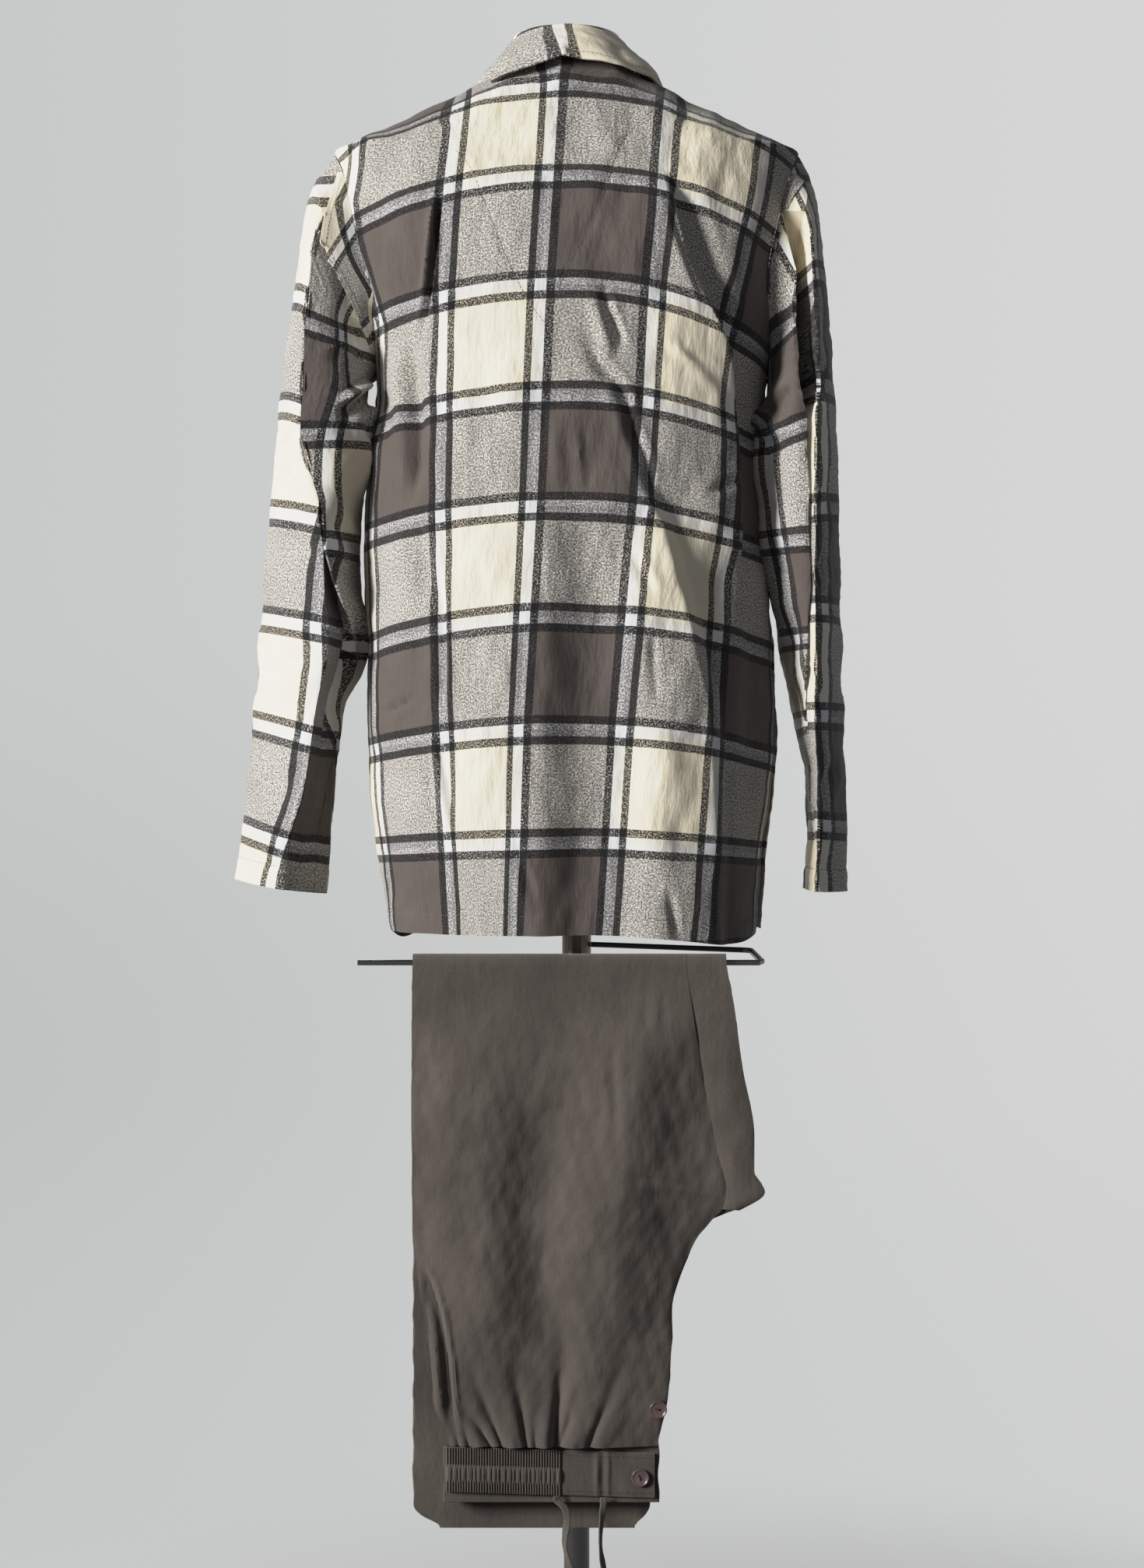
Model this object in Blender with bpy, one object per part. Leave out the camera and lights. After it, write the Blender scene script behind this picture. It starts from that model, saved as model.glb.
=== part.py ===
"""Pyjama set on a dress-form stand.

A flannel shirt with a fold-over collar is worn by a limbless dress form on a round foot. The matching
trousers are folded leg on leg and hang over a flat rail that is clamped to the pole below the shirt.

Units are metres, +Z is up, the foot's underside is at z = 0 and the pole's axis is x = y = 0.
The shirt's back and the trousers' near side face -Y. "Left" and "right" are the wearer's own, and the
wearer's left is at -X.
"""

import math
from collections import namedtuple

import bmesh
import bpy
from mathutils import Vector

# ---------------------------------------------------------------- driving dimensions

SEAM_GAP = 0.0003           # what is left between two pieces that are sewn or laid together
SHIRT_CLOTH = 0.0016        # wall of one layer of brushed shirting
COLLAR_CLOTH = 0.0020       # two layers sewn together
TROUSER_CLOTH = 0.0015      # wall of one layer of brushed jersey
SMALLEST = 1e-9             # below this a length counts as nothing

SECTION_POWER = 0.84        # 1 is an ellipse, less is a squarer section
SHOULDER_Z = 1.480          # shoulder point, at the top of the armhole
UNDERARM_Z = 1.280
ARMHOLE_BACK = 0.062        # half depths of the armhole, from the side line
ARMHOLE_FRONT = 0.060
ARMHOLE_GAP = 0.0008        # between a sleeve and the edge of its armhole
SLEEVE_POWER = 1.15         # 1 is an ellipse, more is a ring with sharper creases
ELBOW_TOP = 1.25            # a sleeve has more rings between these heights
ELBOW_BOTTOM = 1.00
ARMHOLE_STEPS = 8           # rows of the body beside the armhole, and half the columns of a sleeve
NECK_STEPS = 4              # rows of the body between the shoulder point and the neck seam
SKIRT_STEPS = 9             # rows of the body from the underarm to the hem
BACK_COLUMNS = 24
FRONT_COLUMNS = 13
YOKE_FULLNESS = 0.004       # how far the cloth above the shoulder blades stands proud of a straight line
VENT_TOP = 0.945            # the side seams are open below this
VENT_CURL = 0.006           # how far the back panel's corner turns in at the hem

NECK_X = -0.0085            # the neck leans a little to the wearer's left
NECK_HALF_WIDTH = 0.072
NECK_BACK = 0.066
NECK_FRONT = 0.080
NECK_SIDE_Z = 1.5365
NECK_BACK_RISE = 0.0155
NECK_FRONT_DROP = 0.0345

FRONT_LAP = 0.017           # each front passes the centre by this much
FRONT_HALF_WIDTH = 0.19     # a front's middling width, which turns that into an angle
LAP_STEP = 0.0024           # how far the left front lies over the right one
LAP_RAMP = 0.060            # the left front rises to that height from here
LAP_FLAT = 0.032            # to here

BUTTON_RADIUS = 0.0075
BUTTON_HEIGHT = 0.0030
BUTTON_LIFT = 0.0005        # between a button's back and the middle of the cloth under it
SHIRT_BUTTONS = (1.418, 1.285, 1.165, 1.045, 0.925)

FORM_CLEARANCE = 0.0008     # between the form and the cloth that rests on its shoulders
FORM_BOTTOM = 0.870
NECK_CAP_RADIUS = 0.0485
NECK_CAP_TOP = 1.5875

FOOT_RADIUS = 0.190
FOOT_THICKNESS = 0.008
LOWER_POLE_RADIUS = 0.0115
UPPER_POLE_RADIUS = 0.0088
POLE_SPLIT = 0.640          # where the upper pole slides into the lower one
HUB_BOTTOM = 0.762
HUB_TOP = 0.7855

RAIL_Y = -0.130             # the hanging bar's own line
RAIL_HEIGHT = 0.0046
RAIL_DEPTH = 0.0050
RAIL_Z = 0.7639             # middle of the hanging bar

FOLD_RADIUS = 0.0041        # inner radius of the trousers' fold over the bar
FOLD_Z = RAIL_Z + RAIL_HEIGHT / 2 + SEAM_GAP - FOLD_RADIUS
WAIST_SEAM_LEFT = 0.3556
WAIST_SEAM_RIGHT = 0.3500
WAISTBAND_HEIGHT = 0.0375
WAISTBAND_THICKNESS = 0.0030
ELASTIC_LEFT = -0.1120
ELASTIC_RIGHT = -0.0125
WAISTBAND_RIGHT = 0.0657
ELASTIC_RIBS = 45
RIB_HEIGHT = 0.0011
LEG_COLUMNS = 24
DRAWSTRING_WIDTH = 0.006
PUFF_HEIGHT = 0.0013        # how far the elastic swells between its rows of stitches
PRESSED = 0.0005            # how much thinner a sewn edge is
FOLD_STEPS = 6              # rows of the cloth over the bar
PRESSED_ALONG = 0.012       # the cloth lies flat this far from the top of the fold
LOOSE_ALONG = 0.112         # and is loose from here
LEG_FULLNESS = 0.0085       # how far the loose front panel stands off the layers under it
STRIP_FULLNESS = 0.0020     # and the strip of the back panel
HIDDEN_COLUMNS = 5
HIDDEN_TUCK = 0.0022        # the hidden layers end this far inside the outer ones

# ---------------------------------------------------------------- tables

# The shirt's horizontal sections: the two sides in x, the back's and the front's depth.
BodyRow = namedtuple("BodyRow", "z left right back front")
BODY = (
    BodyRow(0.740, -0.163, 0.162, 0.128, 0.122),
    BodyRow(0.785, -0.166, 0.165, 0.130, 0.124),
    BodyRow(0.860, -0.179, 0.171, 0.134, 0.126),
    BodyRow(0.950, -0.187, 0.180, 0.135, 0.128),
    BodyRow(1.040, -0.188, 0.176, 0.131, 0.128),
    BodyRow(1.120, -0.190, 0.170, 0.126, 0.129),
    BodyRow(1.200, -0.187, 0.166, 0.122, 0.131),
    BodyRow(1.280, -0.179, 0.171, 0.122, 0.132),
    BodyRow(1.340, -0.196, 0.182, 0.121, 0.130),
    BodyRow(1.400, -0.211, 0.193, 0.117, 0.122),
    BodyRow(1.440, -0.217, 0.199, 0.109, 0.108),
    BodyRow(1.480, -0.2175, 0.199, 0.092, 0.088),
)

# The hem is uneven: how far it drops at each place across the back, 0 left to 1 right.
HEM_Z = 0.7865
HEM_DIP = 0.0100
HEM_DIP_AT = 0.80
HEM_DIP_WIDTH = 0.16

# Troughs and ridges in a panel, each along a line from one end to the other. Depth is inward, so a
# ridge has a negative one. Width is how far from its line a fold dies away.
Fold = namedtuple("Fold", "x1 z1 x2 z2 width depth")
FOLD_OVERRUN = 0.12         # a fold runs on past its ends by this share of its length
FOLD_TAPER = 0.30           # and takes this share to reach its depth
BACK_FOLDS = (
    Fold(-0.127, 1.412, -0.132, 1.300, 0.010, 0.007),
    Fold(-0.146, 1.320, -0.141, 1.130, 0.012, 0.008),
    Fold(-0.156, 1.290, -0.158, 1.180, 0.008, -0.004),
    Fold(0.074, 1.410, 0.100, 1.330, 0.010, 0.007),
    Fold(0.102, 1.400, 0.140, 1.300, 0.012, 0.006),
    Fold(0.088, 1.400, 0.121, 1.320, 0.009, -0.004),
    Fold(0.023, 1.345, 0.012, 1.268, 0.011, 0.006),
    Fold(0.020, 1.290, 0.060, 1.160, 0.012, 0.007),
    Fold(0.066, 1.180, 0.070, 1.020, 0.014, 0.004),
    Fold(-0.118, 1.135, -0.110, 0.880, 0.009, 0.005),
    Fold(0.126, 1.060, 0.120, 0.830, 0.016, 0.004),
    Fold(-0.060, 0.960, -0.066, 0.810, 0.018, -0.003),
)
FRONT_FOLDS = (
    Fold(-0.118, 1.405, -0.140, 1.290, 0.012, 0.006),
    Fold(-0.105, 1.300, -0.090, 1.120, 0.016, 0.006),
    Fold(-0.070, 1.120, -0.085, 0.860, 0.018, 0.005),
    Fold(0.104, 1.400, 0.132, 1.290, 0.012, 0.006),
    Fold(0.095, 1.290, 0.078, 1.100, 0.016, 0.006),
    Fold(0.110, 1.080, 0.100, 0.850, 0.018, 0.005),
)

# The sleeves' rings below the armhole: the outer and the inner point in x and z, where the pressed
# crease lies between them (0 outer, 1 inner) and the depth to the back and to the front.
SleeveRow = namedtuple("SleeveRow", "outer_x outer_z inner_x inner_z crease back front")
LEFT_SLEEVE = (
    SleeveRow(-0.2340, 1.459, -0.1860, 1.2755, 0.50, 0.068, 0.064),
    SleeveRow(-0.2425, 1.432, -0.1882, 1.2715, 0.47, 0.075, 0.070),
    SleeveRow(-0.2485, 1.395, -0.1893, 1.2665, 0.43, 0.080, 0.076),
    SleeveRow(-0.2540, 1.352, -0.1898, 1.2615, 0.39, 0.084, 0.080),
    SleeveRow(-0.2605, 1.308, -0.1903, 1.2560, 0.36, 0.086, 0.083),
    SleeveRow(-0.2660, 1.264, -0.1908, 1.2460, 0.34, 0.086, 0.085),
    SleeveRow(-0.2705, 1.216, -0.1925, 1.216, 0.42, 0.085, 0.085),
    SleeveRow(-0.2760, 1.160, -0.1950, 1.160, 0.60, 0.083, 0.083),
    SleeveRow(-0.2810, 1.100, -0.1965, 1.100, 0.68, 0.080, 0.081),
    SleeveRow(-0.2855, 1.040, -0.1975, 1.040, 0.72, 0.077, 0.078),
    SleeveRow(-0.2895, 0.985, -0.2090, 0.985, 0.74, 0.073, 0.075),
    SleeveRow(-0.2945, 0.930, -0.2165, 0.930, 0.75, 0.069, 0.071),
    SleeveRow(-0.3000, 0.880, -0.2210, 0.876, 0.64, 0.066, 0.068),
    SleeveRow(-0.3070, 0.831, -0.2250, 0.818, 0.46, 0.063, 0.065),
)
RIGHT_SLEEVE = (
    SleeveRow(0.2085, 1.464, 0.1775, 1.2755, 0.50, 0.068, 0.064),
    SleeveRow(0.2155, 1.436, 0.1798, 1.2710, 0.49, 0.075, 0.070),
    SleeveRow(0.2205, 1.398, 0.1808, 1.2660, 0.48, 0.080, 0.076),
    SleeveRow(0.2250, 1.354, 0.1812, 1.2610, 0.47, 0.084, 0.080),
    SleeveRow(0.2285, 1.310, 0.1815, 1.2550, 0.47, 0.087, 0.084),
    SleeveRow(0.2315, 1.264, 0.1810, 1.2450, 0.47, 0.088, 0.086),
    SleeveRow(0.2345, 1.216, 0.1800, 1.216, 0.50, 0.087, 0.086),
    SleeveRow(0.2360, 1.160, 0.1790, 1.160, 0.55, 0.085, 0.085),
    SleeveRow(0.2368, 1.100, 0.1790, 1.100, 0.60, 0.082, 0.083),
    SleeveRow(0.2380, 1.040, 0.1830, 1.040, 0.62, 0.079, 0.080),
    SleeveRow(0.2395, 0.985, 0.1930, 0.985, 0.62, 0.075, 0.077),
    SleeveRow(0.2410, 0.930, 0.2050, 0.930, 0.60, 0.071, 0.073),
    SleeveRow(0.2430, 0.876, 0.2075, 0.876, 0.56, 0.068, 0.070),
    SleeveRow(0.2430, 0.820, 0.2050, 0.822, 0.50, 0.066, 0.068),
)

# Kinks at the elbow: the height, the place round the sleeve in degrees from its outer edge by way of
# the back, the reach in height and in degrees, and the depth.
Kink = namedtuple("Kink", "z around reach spread depth")
LEFT_KINKS = (
    Kink(1.245, 118, 0.020, 30, 0.009),
    Kink(1.215, 138, 0.016, 26, -0.003),
    Kink(1.085, 112, 0.018, 28, 0.008),
    Kink(1.030, 122, 0.018, 30, 0.007),
    Kink(1.060, 250, 0.024, 34, 0.006),
)
RIGHT_KINKS = (
    Kink(1.250, 118, 0.022, 32, 0.008),
    Kink(1.120, 60, 0.022, 30, 0.005),
    Kink(1.075, 116, 0.022, 30, 0.006),
    Kink(1.060, 250, 0.024, 34, 0.006),
)

# The collar by angle from the centre of the back: the roll line's radius and height, and the place
# of the fall's free edge from the neck's own axis.
CollarRow = namedtuple("CollarRow", "angle roll roll_z edge_x edge_y edge_z")
COLLAR = (
    CollarRow(0, 0.0545, 1.5860, 0.000, -0.084, 1.5500),
    CollarRow(30, 0.0545, 1.5855, 0.046, -0.077, 1.5430),
    CollarRow(60, 0.0550, 1.5820, 0.078, -0.047, 1.5375),
    CollarRow(90, 0.0565, 1.5740, 0.090, 0.000, 1.5345),
    CollarRow(115, 0.0620, 1.5620, 0.092, 0.051, 1.5170),
    CollarRow(135, 0.0680, 1.5490, 0.079, 0.097, 1.4900),
    CollarRow(150, 0.0740, 1.5370, 0.064, 0.1125, 1.4620),
    CollarRow(166, 0.0800, 1.5250, 0.050, 0.1205, 1.4320),
)
COLLAR_STEP = 15            # degrees between the collar's sections, about
ROLL_RADIUS = 0.0034
FALL_CURVE = 0.0040         # how far the fall bows out between its roll and its edge

# The form's surface is the cloth's, moved in by these amounts at its side, back and front.
FormRow = namedtuple("FormRow", "z side back front")
FORM = (
    FormRow(0.870, 0.030, 0.030, 0.028),
    FormRow(0.960, 0.028, 0.028, 0.028),
    FormRow(1.080, 0.048, 0.036, 0.040),
    FormRow(1.200, 0.034, 0.024, 0.026),
    FormRow(1.300, 0.022, 0.017, 0.016),
    FormRow(1.380, 0.020, 0.015, 0.015),
    FormRow(1.430, 0.016, 0.012, 0.011),
    FormRow(1.465, 0.010, 0.0060, 0.0060),
)

# The form's rings below its shoulders, and the neck's above them.
FORM_LEVELS = (1.462, 1.435, 1.390, 1.320, 1.240, 1.160, 1.080, 1.000, 0.930, FORM_BOTTOM)
NeckRing = namedtuple("NeckRing", "z radius")
FORM_NECK = (
    NeckRing(1.5695, 0.0455),
    NeckRing(1.5560, 0.0500),
    NeckRing(1.5460, 0.0570),
)
FORM_COLUMNS = 32
CAP_BASE_Z = 1.5698

# The foot's top by radius and height above the plate.
FootRing = namedtuple("FootRing", "radius height")
FOOT_BOSS = (
    FootRing(0.032, 0.000),
    FootRing(0.024, 0.010),
    FootRing(0.022, 0.026),
)
LOCK_HEIGHT = 0.033
LOCK_WALL = 0.005
HUB_RADIUS = 0.0130

# The rail from the hub to the bar's free end, along its middle.
RAIL = (
    (0.0133, -0.002, 0.7720),
    (0.1480, -0.044, 0.7695),
    (0.1535, -0.049, 0.7693),
    (0.1580, -0.122, 0.7645),
    (0.1545, RAIL_Y, RAIL_Z),
    (-0.1870, RAIL_Y, RAIL_Z),
)
RAIL_CHAMFER = 0.55         # where the bar's flats end, as a share of its half width

# The folded trousers by height on the near side: the left edge, the inseam or front rise, and the
# edge of everything together.
NearRow = namedtuple("NearRow", "z left seam right")
NEAR_SIDE = (
    NearRow(0.771, -0.1397, 0.0930, 0.1269),
    NearRow(0.727, -0.1400, 0.0977, 0.1335),
    NearRow(0.676, -0.1400, 0.1055, 0.1401),
    NearRow(0.618, -0.1397, 0.1165, 0.1500),
    NearRow(0.588, -0.1397, 0.1230, 0.1500),
    NearRow(0.5705, -0.1396, 0.1262, 0.1590),
    NearRow(0.5560, -0.1394, 0.1230, 0.1373),
    NearRow(0.5480, -0.1392, 0.1152, 0.1156),
    NearRow(0.5289, -0.1385, 0.1002, 0.1006),
    NearRow(0.4818, -0.1320, 0.0813, 0.0817),
    NearRow(0.4488, -0.1270, 0.0803, 0.0807),
    NearRow(0.3970, -0.1215, 0.0766, 0.0770),
    NearRow(0.3560, -0.1130, 0.0690, 0.0695),
    NearRow(0.3100, -0.1130, 0.0690, 0.0695),
)
# The same on the far side, where the legs hang down to their hems.
FarRow = namedtuple("FarRow", "z left seam right")
FAR_SIDE = (
    FarRow(0.771, -0.1397, 0.0930, 0.1269),
    FarRow(0.650, -0.1400, 0.0800, 0.1080),
    FarRow(0.500, -0.1400, 0.0640, 0.0850),
    FarRow(0.350, -0.1400, 0.0540, 0.0680),
    FarRow(0.3000, -0.1392, 0.0510, 0.0620),
    FarRow(0.2915, -0.1330, 0.0500, 0.0580),
    FarRow(0.2815, -0.1180, 0.0470, 0.0500),
)

# The heights of the pieces' rows, from the waist up to the bar and from the bar down to the hems.
HIDDEN_LEVELS = (0.3085, 0.340, 0.397, 0.449, 0.482, 0.529, 0.548, 0.556, 0.5705, 0.588, 0.618, 0.676, 0.735)
FRONT_LEVELS = (0.3565, 0.372, 0.398, 0.430, 0.460, 0.4818, 0.529, 0.548, 0.556, 0.5705, 0.588, 0.630, 0.690,
                0.738)
STRIP_LEVELS = (0.5560, 0.5705, 0.588, 0.618, 0.660, 0.700, 0.738)
FAR_LEVELS = (0.738, 0.600, 0.430, 0.3000, 0.2915, 0.2815)

# Thickness of the hidden layers by the way along the cloth from the top of the fold.
ThicknessRow = namedtuple("ThicknessRow", "along thickness")
NEAR_THICKNESS = (
    ThicknessRow(0.000, 0.0024),
    ThicknessRow(0.012, 0.0028),
    ThicknessRow(0.080, 0.0075),
    ThicknessRow(0.250, 0.0105),
    ThicknessRow(0.420, 0.0120),
    ThicknessRow(0.600, 0.0110),
)
FAR_THICKNESS = (
    ThicknessRow(0.000, 0.0024),
    ThicknessRow(0.012, 0.0028),
    ThicknessRow(0.080, 0.0065),
    ThicknessRow(0.250, 0.0085),
    ThicknessRow(0.600, 0.0085),
)
LAYER_EDGES = 3             # layers that show round the edges of the hidden part
LAYER_GROOVE = 0.0016       # how deep the edges part between them

# Soft folds in the near leg's panel, and the gathers that spread up from the elastic.
TROUSER_FOLDS = (
    Fold(-0.062, 0.700, -0.052, 0.420, 0.016, -0.0045),
    Fold(-0.030, 0.640, -0.038, 0.370, 0.012, 0.0040),
    Fold(0.018, 0.720, -0.004, 0.420, 0.016, -0.0045),
    Fold(0.062, 0.740, 0.056, 0.480, 0.010, 0.0040),
    Fold(0.084, 0.690, 0.072, 0.520, 0.009, -0.0030),
    Fold(-0.112, 0.720, -0.110, 0.480, 0.018, -0.0030),
    Fold(0.046, 0.560, 0.020, 0.372, 0.010, -0.0040),
)

# The gathers that spread up from the elastic, each on a column of the panel's grid: the height where
# it dies away, and how deep it is at the waistband. A ridge has a negative depth.
Pleat = namedtuple("Pleat", "column top depth")
PLEATS = (
    Pleat(1, 0.500, 0.0075),
    Pleat(2, 0.470, -0.0050),
    Pleat(3, 0.455, 0.0055),
    Pleat(4, 0.430, -0.0035),
    Pleat(5, 0.470, 0.0055),
    Pleat(6, 0.420, -0.0040),
    Pleat(7, 0.440, 0.0050),
    Pleat(8, 0.490, -0.0040),
    Pleat(9, 0.430, 0.0055),
    Pleat(10, 0.410, -0.0035),
    Pleat(11, 0.460, 0.0050),
    Pleat(12, 0.430, -0.0045),
    Pleat(13, 0.470, 0.0045),
    Pleat(15, 0.450, -0.0035),
    Pleat(17, 0.440, 0.0035),
    Pleat(20, 0.450, -0.0030),
)

# The fastened fly's two buttons.
TROUSER_BUTTONS = (
    ("button_fly", 0.0686, 0.3880),
    ("button_waistband", 0.0534, 0.3300),
)

# The drawstring's free ends, from the waistband down.
DRAWSTRING_LEFT = (
    (-0.0172, -0.1520, 0.3146),
    (-0.0168, -0.1521, 0.3110),
    (-0.0105, -0.1530, 0.3050),
    (-0.0082, -0.1545, 0.2960),
    (-0.0098, -0.1552, 0.2850),
    (-0.0104, -0.1550, 0.2740),
    (-0.0082, -0.1545, 0.2630),
    (-0.0055, -0.1540, 0.2520),
    (-0.0048, -0.1535, 0.2400),
    (-0.0064, -0.1530, 0.2280),
    (-0.0090, -0.1528, 0.2150),
    (-0.0104, -0.1527, 0.2020),
    (-0.0100, -0.1526, 0.1900),
    (-0.0088, -0.1526, 0.1780),
    (-0.0076, -0.1526, 0.1680),
)
DRAWSTRING_RIGHT = (
    (0.0225, -0.1518, 0.3134),
    (0.0222, -0.1519, 0.3080),
    (0.0214, -0.1530, 0.3000),
    (0.0204, -0.1540, 0.2900),
    (0.0198, -0.1546, 0.2790),
    (0.0203, -0.1547, 0.2680),
    (0.0220, -0.1545, 0.2570),
    (0.0238, -0.1540, 0.2450),
    (0.0246, -0.1536, 0.2330),
    (0.0240, -0.1533, 0.2210),
    (0.0226, -0.1531, 0.2090),
    (0.0216, -0.1530, 0.1970),
    (0.0220, -0.1530, 0.1860),
)

MATERIALS = {
    "flannel": ((0.42, 0.39, 0.35), 0.92, 0.0),
    "jersey": ((0.095, 0.080, 0.072), 0.95, 0.0),
    "button": ((0.10, 0.055, 0.055), 0.35, 0.0),
    "form": ((0.62, 0.58, 0.52), 0.85, 0.0),
    "cap": ((0.02, 0.02, 0.02), 0.25, 0.0),
    "black": ((0.018, 0.018, 0.02), 0.42, 0.3),
    "bronze": ((0.12, 0.09, 0.07), 0.32, 0.9),
}


# ---------------------------------------------------------------- shared helpers

def clear_scene():
    for old in list(bpy.data.objects):
        bpy.data.objects.remove(old, do_unlink=True)


def material(name):
    found = bpy.data.materials.get(name)
    if found:
        return found
    colour, roughness, metallic = MATERIALS[name]
    made = bpy.data.materials.new(name)
    made.use_nodes = True
    shader = made.node_tree.nodes["Principled BSDF"]
    shader.inputs["Base Color"].default_value = (*colour, 1.0)
    shader.inputs["Roughness"].default_value = roughness
    shader.inputs["Metallic"].default_value = metallic
    return made


def finish_object(name, mesh, material_name, sharp_angle=40):
    """Puts a mesh into the scene with its faces pointing out, smooth but for its sharp edges."""
    work = bmesh.new()
    work.from_mesh(mesh)
    bmesh.ops.recalc_face_normals(work, faces=work.faces)
    work.to_mesh(mesh)
    work.free()
    mesh.shade_smooth()
    mesh.set_sharp_from_angle(angle=math.radians(sharp_angle))
    mesh.materials.append(material(material_name))
    made = bpy.data.objects.new(name, mesh)
    bpy.context.scene.collection.objects.link(made)
    return made


def mesh_object(name, points, faces, material_name, sharp_angle=40):
    mesh = bpy.data.meshes.new(name)
    mesh.from_pydata([tuple(point) for point in points], [], faces)
    return finish_object(name, mesh, material_name, sharp_angle)


def smooth_step(value):
    held = min(1.0, max(0.0, value))
    return held * held * (3.0 - 2.0 * held)


def read_table(table, key, at):
    """The row of a table at a value of its key column, on smooth curves through the rows."""
    rows = sorted(table, key=lambda row: getattr(row, key))
    keys = [getattr(row, key) for row in rows]
    at = min(max(at, keys[0]), keys[-1])
    index = max(i for i in range(len(keys) - 1) if keys[i] <= at + SMALLEST)
    low, high = rows[index], rows[index + 1]
    before, after = rows[max(index - 1, 0)], rows[min(index + 2, len(rows) - 1)]
    span = keys[index + 1] - keys[index]
    t = (at - keys[index]) / span
    values = {}
    for column in rows[0]._fields:
        a, b, c, d = (getattr(row, column) for row in (before, low, high, after))
        slope_low = (c - a) / max(getattr(high, key) - getattr(before, key), SMALLEST) * span
        slope_high = (d - b) / max(getattr(after, key) - getattr(low, key), SMALLEST) * span
        if (b - a) * (c - b) <= 0:
            slope_low = 0.0
        if (c - b) * (d - c) <= 0:
            slope_high = 0.0
        values[column] = (
            b * (2 * t ** 3 - 3 * t ** 2 + 1)
            + slope_low * (t ** 3 - 2 * t ** 2 + t)
            + c * (3 * t ** 2 - 2 * t ** 3)
            + slope_high * (t ** 3 - t ** 2)
        )
    return type(rows[0])(**values)


def fold_depth(folds, x, z):
    """How far the cloth lies inward at a place of a panel."""
    depth = 0.0
    for fold in folds:
        along = (z - fold.z1) / (fold.z2 - fold.z1)
        middle = fold.x1 + (fold.x2 - fold.x1) * min(1.0, max(0.0, along))
        ends = smooth_step((along + FOLD_OVERRUN) / FOLD_TAPER)
        ends *= smooth_step((1 + FOLD_OVERRUN - along) / FOLD_TAPER)
        depth += fold.depth * ends * math.exp(-((x - middle) / fold.width) ** 2)
    return depth


def signed_power(value, power):
    return math.copysign(abs(value) ** power, value)


def grid_normals(grid, wrap):
    """Outward normals of a grid that is listed as it is seen from outside, with rows from top to
    bottom and columns from left to right. The first and last row, and column unless the grid wraps
    round, only give their neighbours a direction."""
    count = len(grid[0])
    normals = []
    for r in range(1, len(grid) - 1):
        line = []
        columns = range(count) if wrap else range(1, count - 1)
        for c in columns:
            down = grid[r + 1][c] - grid[r - 1][c]
            across = grid[r][(c + 1) % count] - grid[r][(c - 1) % count]
            line.append(down.cross(across).normalized())
        normals.append(line)
    return normals


def inside_of_border(grid, wrap):
    if wrap:
        return [list(row) for row in grid[1:-1]]
    return [row[1:-1] for row in grid[1:-1]]


def closed_wall(name, outer, inner, material_name, wrap=False):
    """One closed solid between two grids of the same size."""
    rows, columns = len(outer), len(outer[0])
    points = [p for row in outer for p in row] + [p for row in inner for p in row]
    half = rows * columns

    def number(r, c, layer):
        return layer * half + r * columns + c % columns

    faces = []
    across = columns if wrap else columns - 1
    for r in range(rows - 1):
        for c in range(across):
            corners = [(r, c), (r, c + 1), (r + 1, c + 1), (r + 1, c)]
            faces.append([number(a, b, 0) for a, b in reversed(corners)])
            faces.append([number(a, b, 1) for a, b in corners])
    for r in (0, rows - 1):
        for c in range(across):
            faces.append([number(r, c, 0), number(r, c + 1, 0), number(r, c + 1, 1), number(r, c, 1)])
    if not wrap:
        for c in (0, columns - 1):
            for r in range(rows - 1):
                faces.append([number(r, c, 0), number(r, c, 1), number(r + 1, c, 1), number(r + 1, c, 0)])
    return mesh_object(name, points, faces, material_name)


def offset_grid(points, normals, distance):
    return [[p + n * distance for p, n in zip(row, line)] for row, line in zip(points, normals)]


def turned(name, profile, centre, material_name, sides=32, sharp_angle=40):
    """A solid of revolution about a vertical axis. The profile runs from the axis to the axis."""
    points = []
    faces = []
    rings = []
    for radius, height in profile:
        if radius < SMALLEST:
            points.append(Vector((centre[0], centre[1], height)))
            rings.append([len(points) - 1])
            continue
        ring = []
        for side in range(sides):
            angle = 2 * math.pi * side / sides
            place = (centre[0] + radius * math.cos(angle), centre[1] + radius * math.sin(angle), height)
            points.append(Vector(place))
            ring.append(len(points) - 1)
        rings.append(ring)
    for low, high in zip(rings, rings[1:]):
        for side in range(sides):
            after = (side + 1) % sides
            corners = [low[side % len(low)], low[after % len(low)]]
            corners += [high[after % len(high)], high[side % len(high)]]
            kept = [corner for i, corner in enumerate(corners) if corner not in corners[:i]]
            if len(kept) > 2:
                faces.append(kept)
    return mesh_object(name, points, faces, material_name, sharp_angle)


def ring_about_axis(name, outline, centre, material_name, sides=20):
    """A ring with a round hole: the outline is a closed loop of radius and height."""
    points = []
    for radius, height in outline:
        for side in range(sides):
            angle = 2 * math.pi * side / sides
            across = (radius * math.cos(angle), radius * math.sin(angle))
            points.append((centre[0] + across[0], centre[1] + across[1], height))
    faces = []
    count = len(outline)
    for step in range(count):
        for side in range(sides):
            after = (side + 1) % sides
            upper = ((step + 1) % count) * sides
            faces.append([step * sides + side, step * sides + after, upper + after, upper + side])
    return mesh_object(name, points, faces, material_name)


# ---------------------------------------------------------------- the shirt's body

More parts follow.
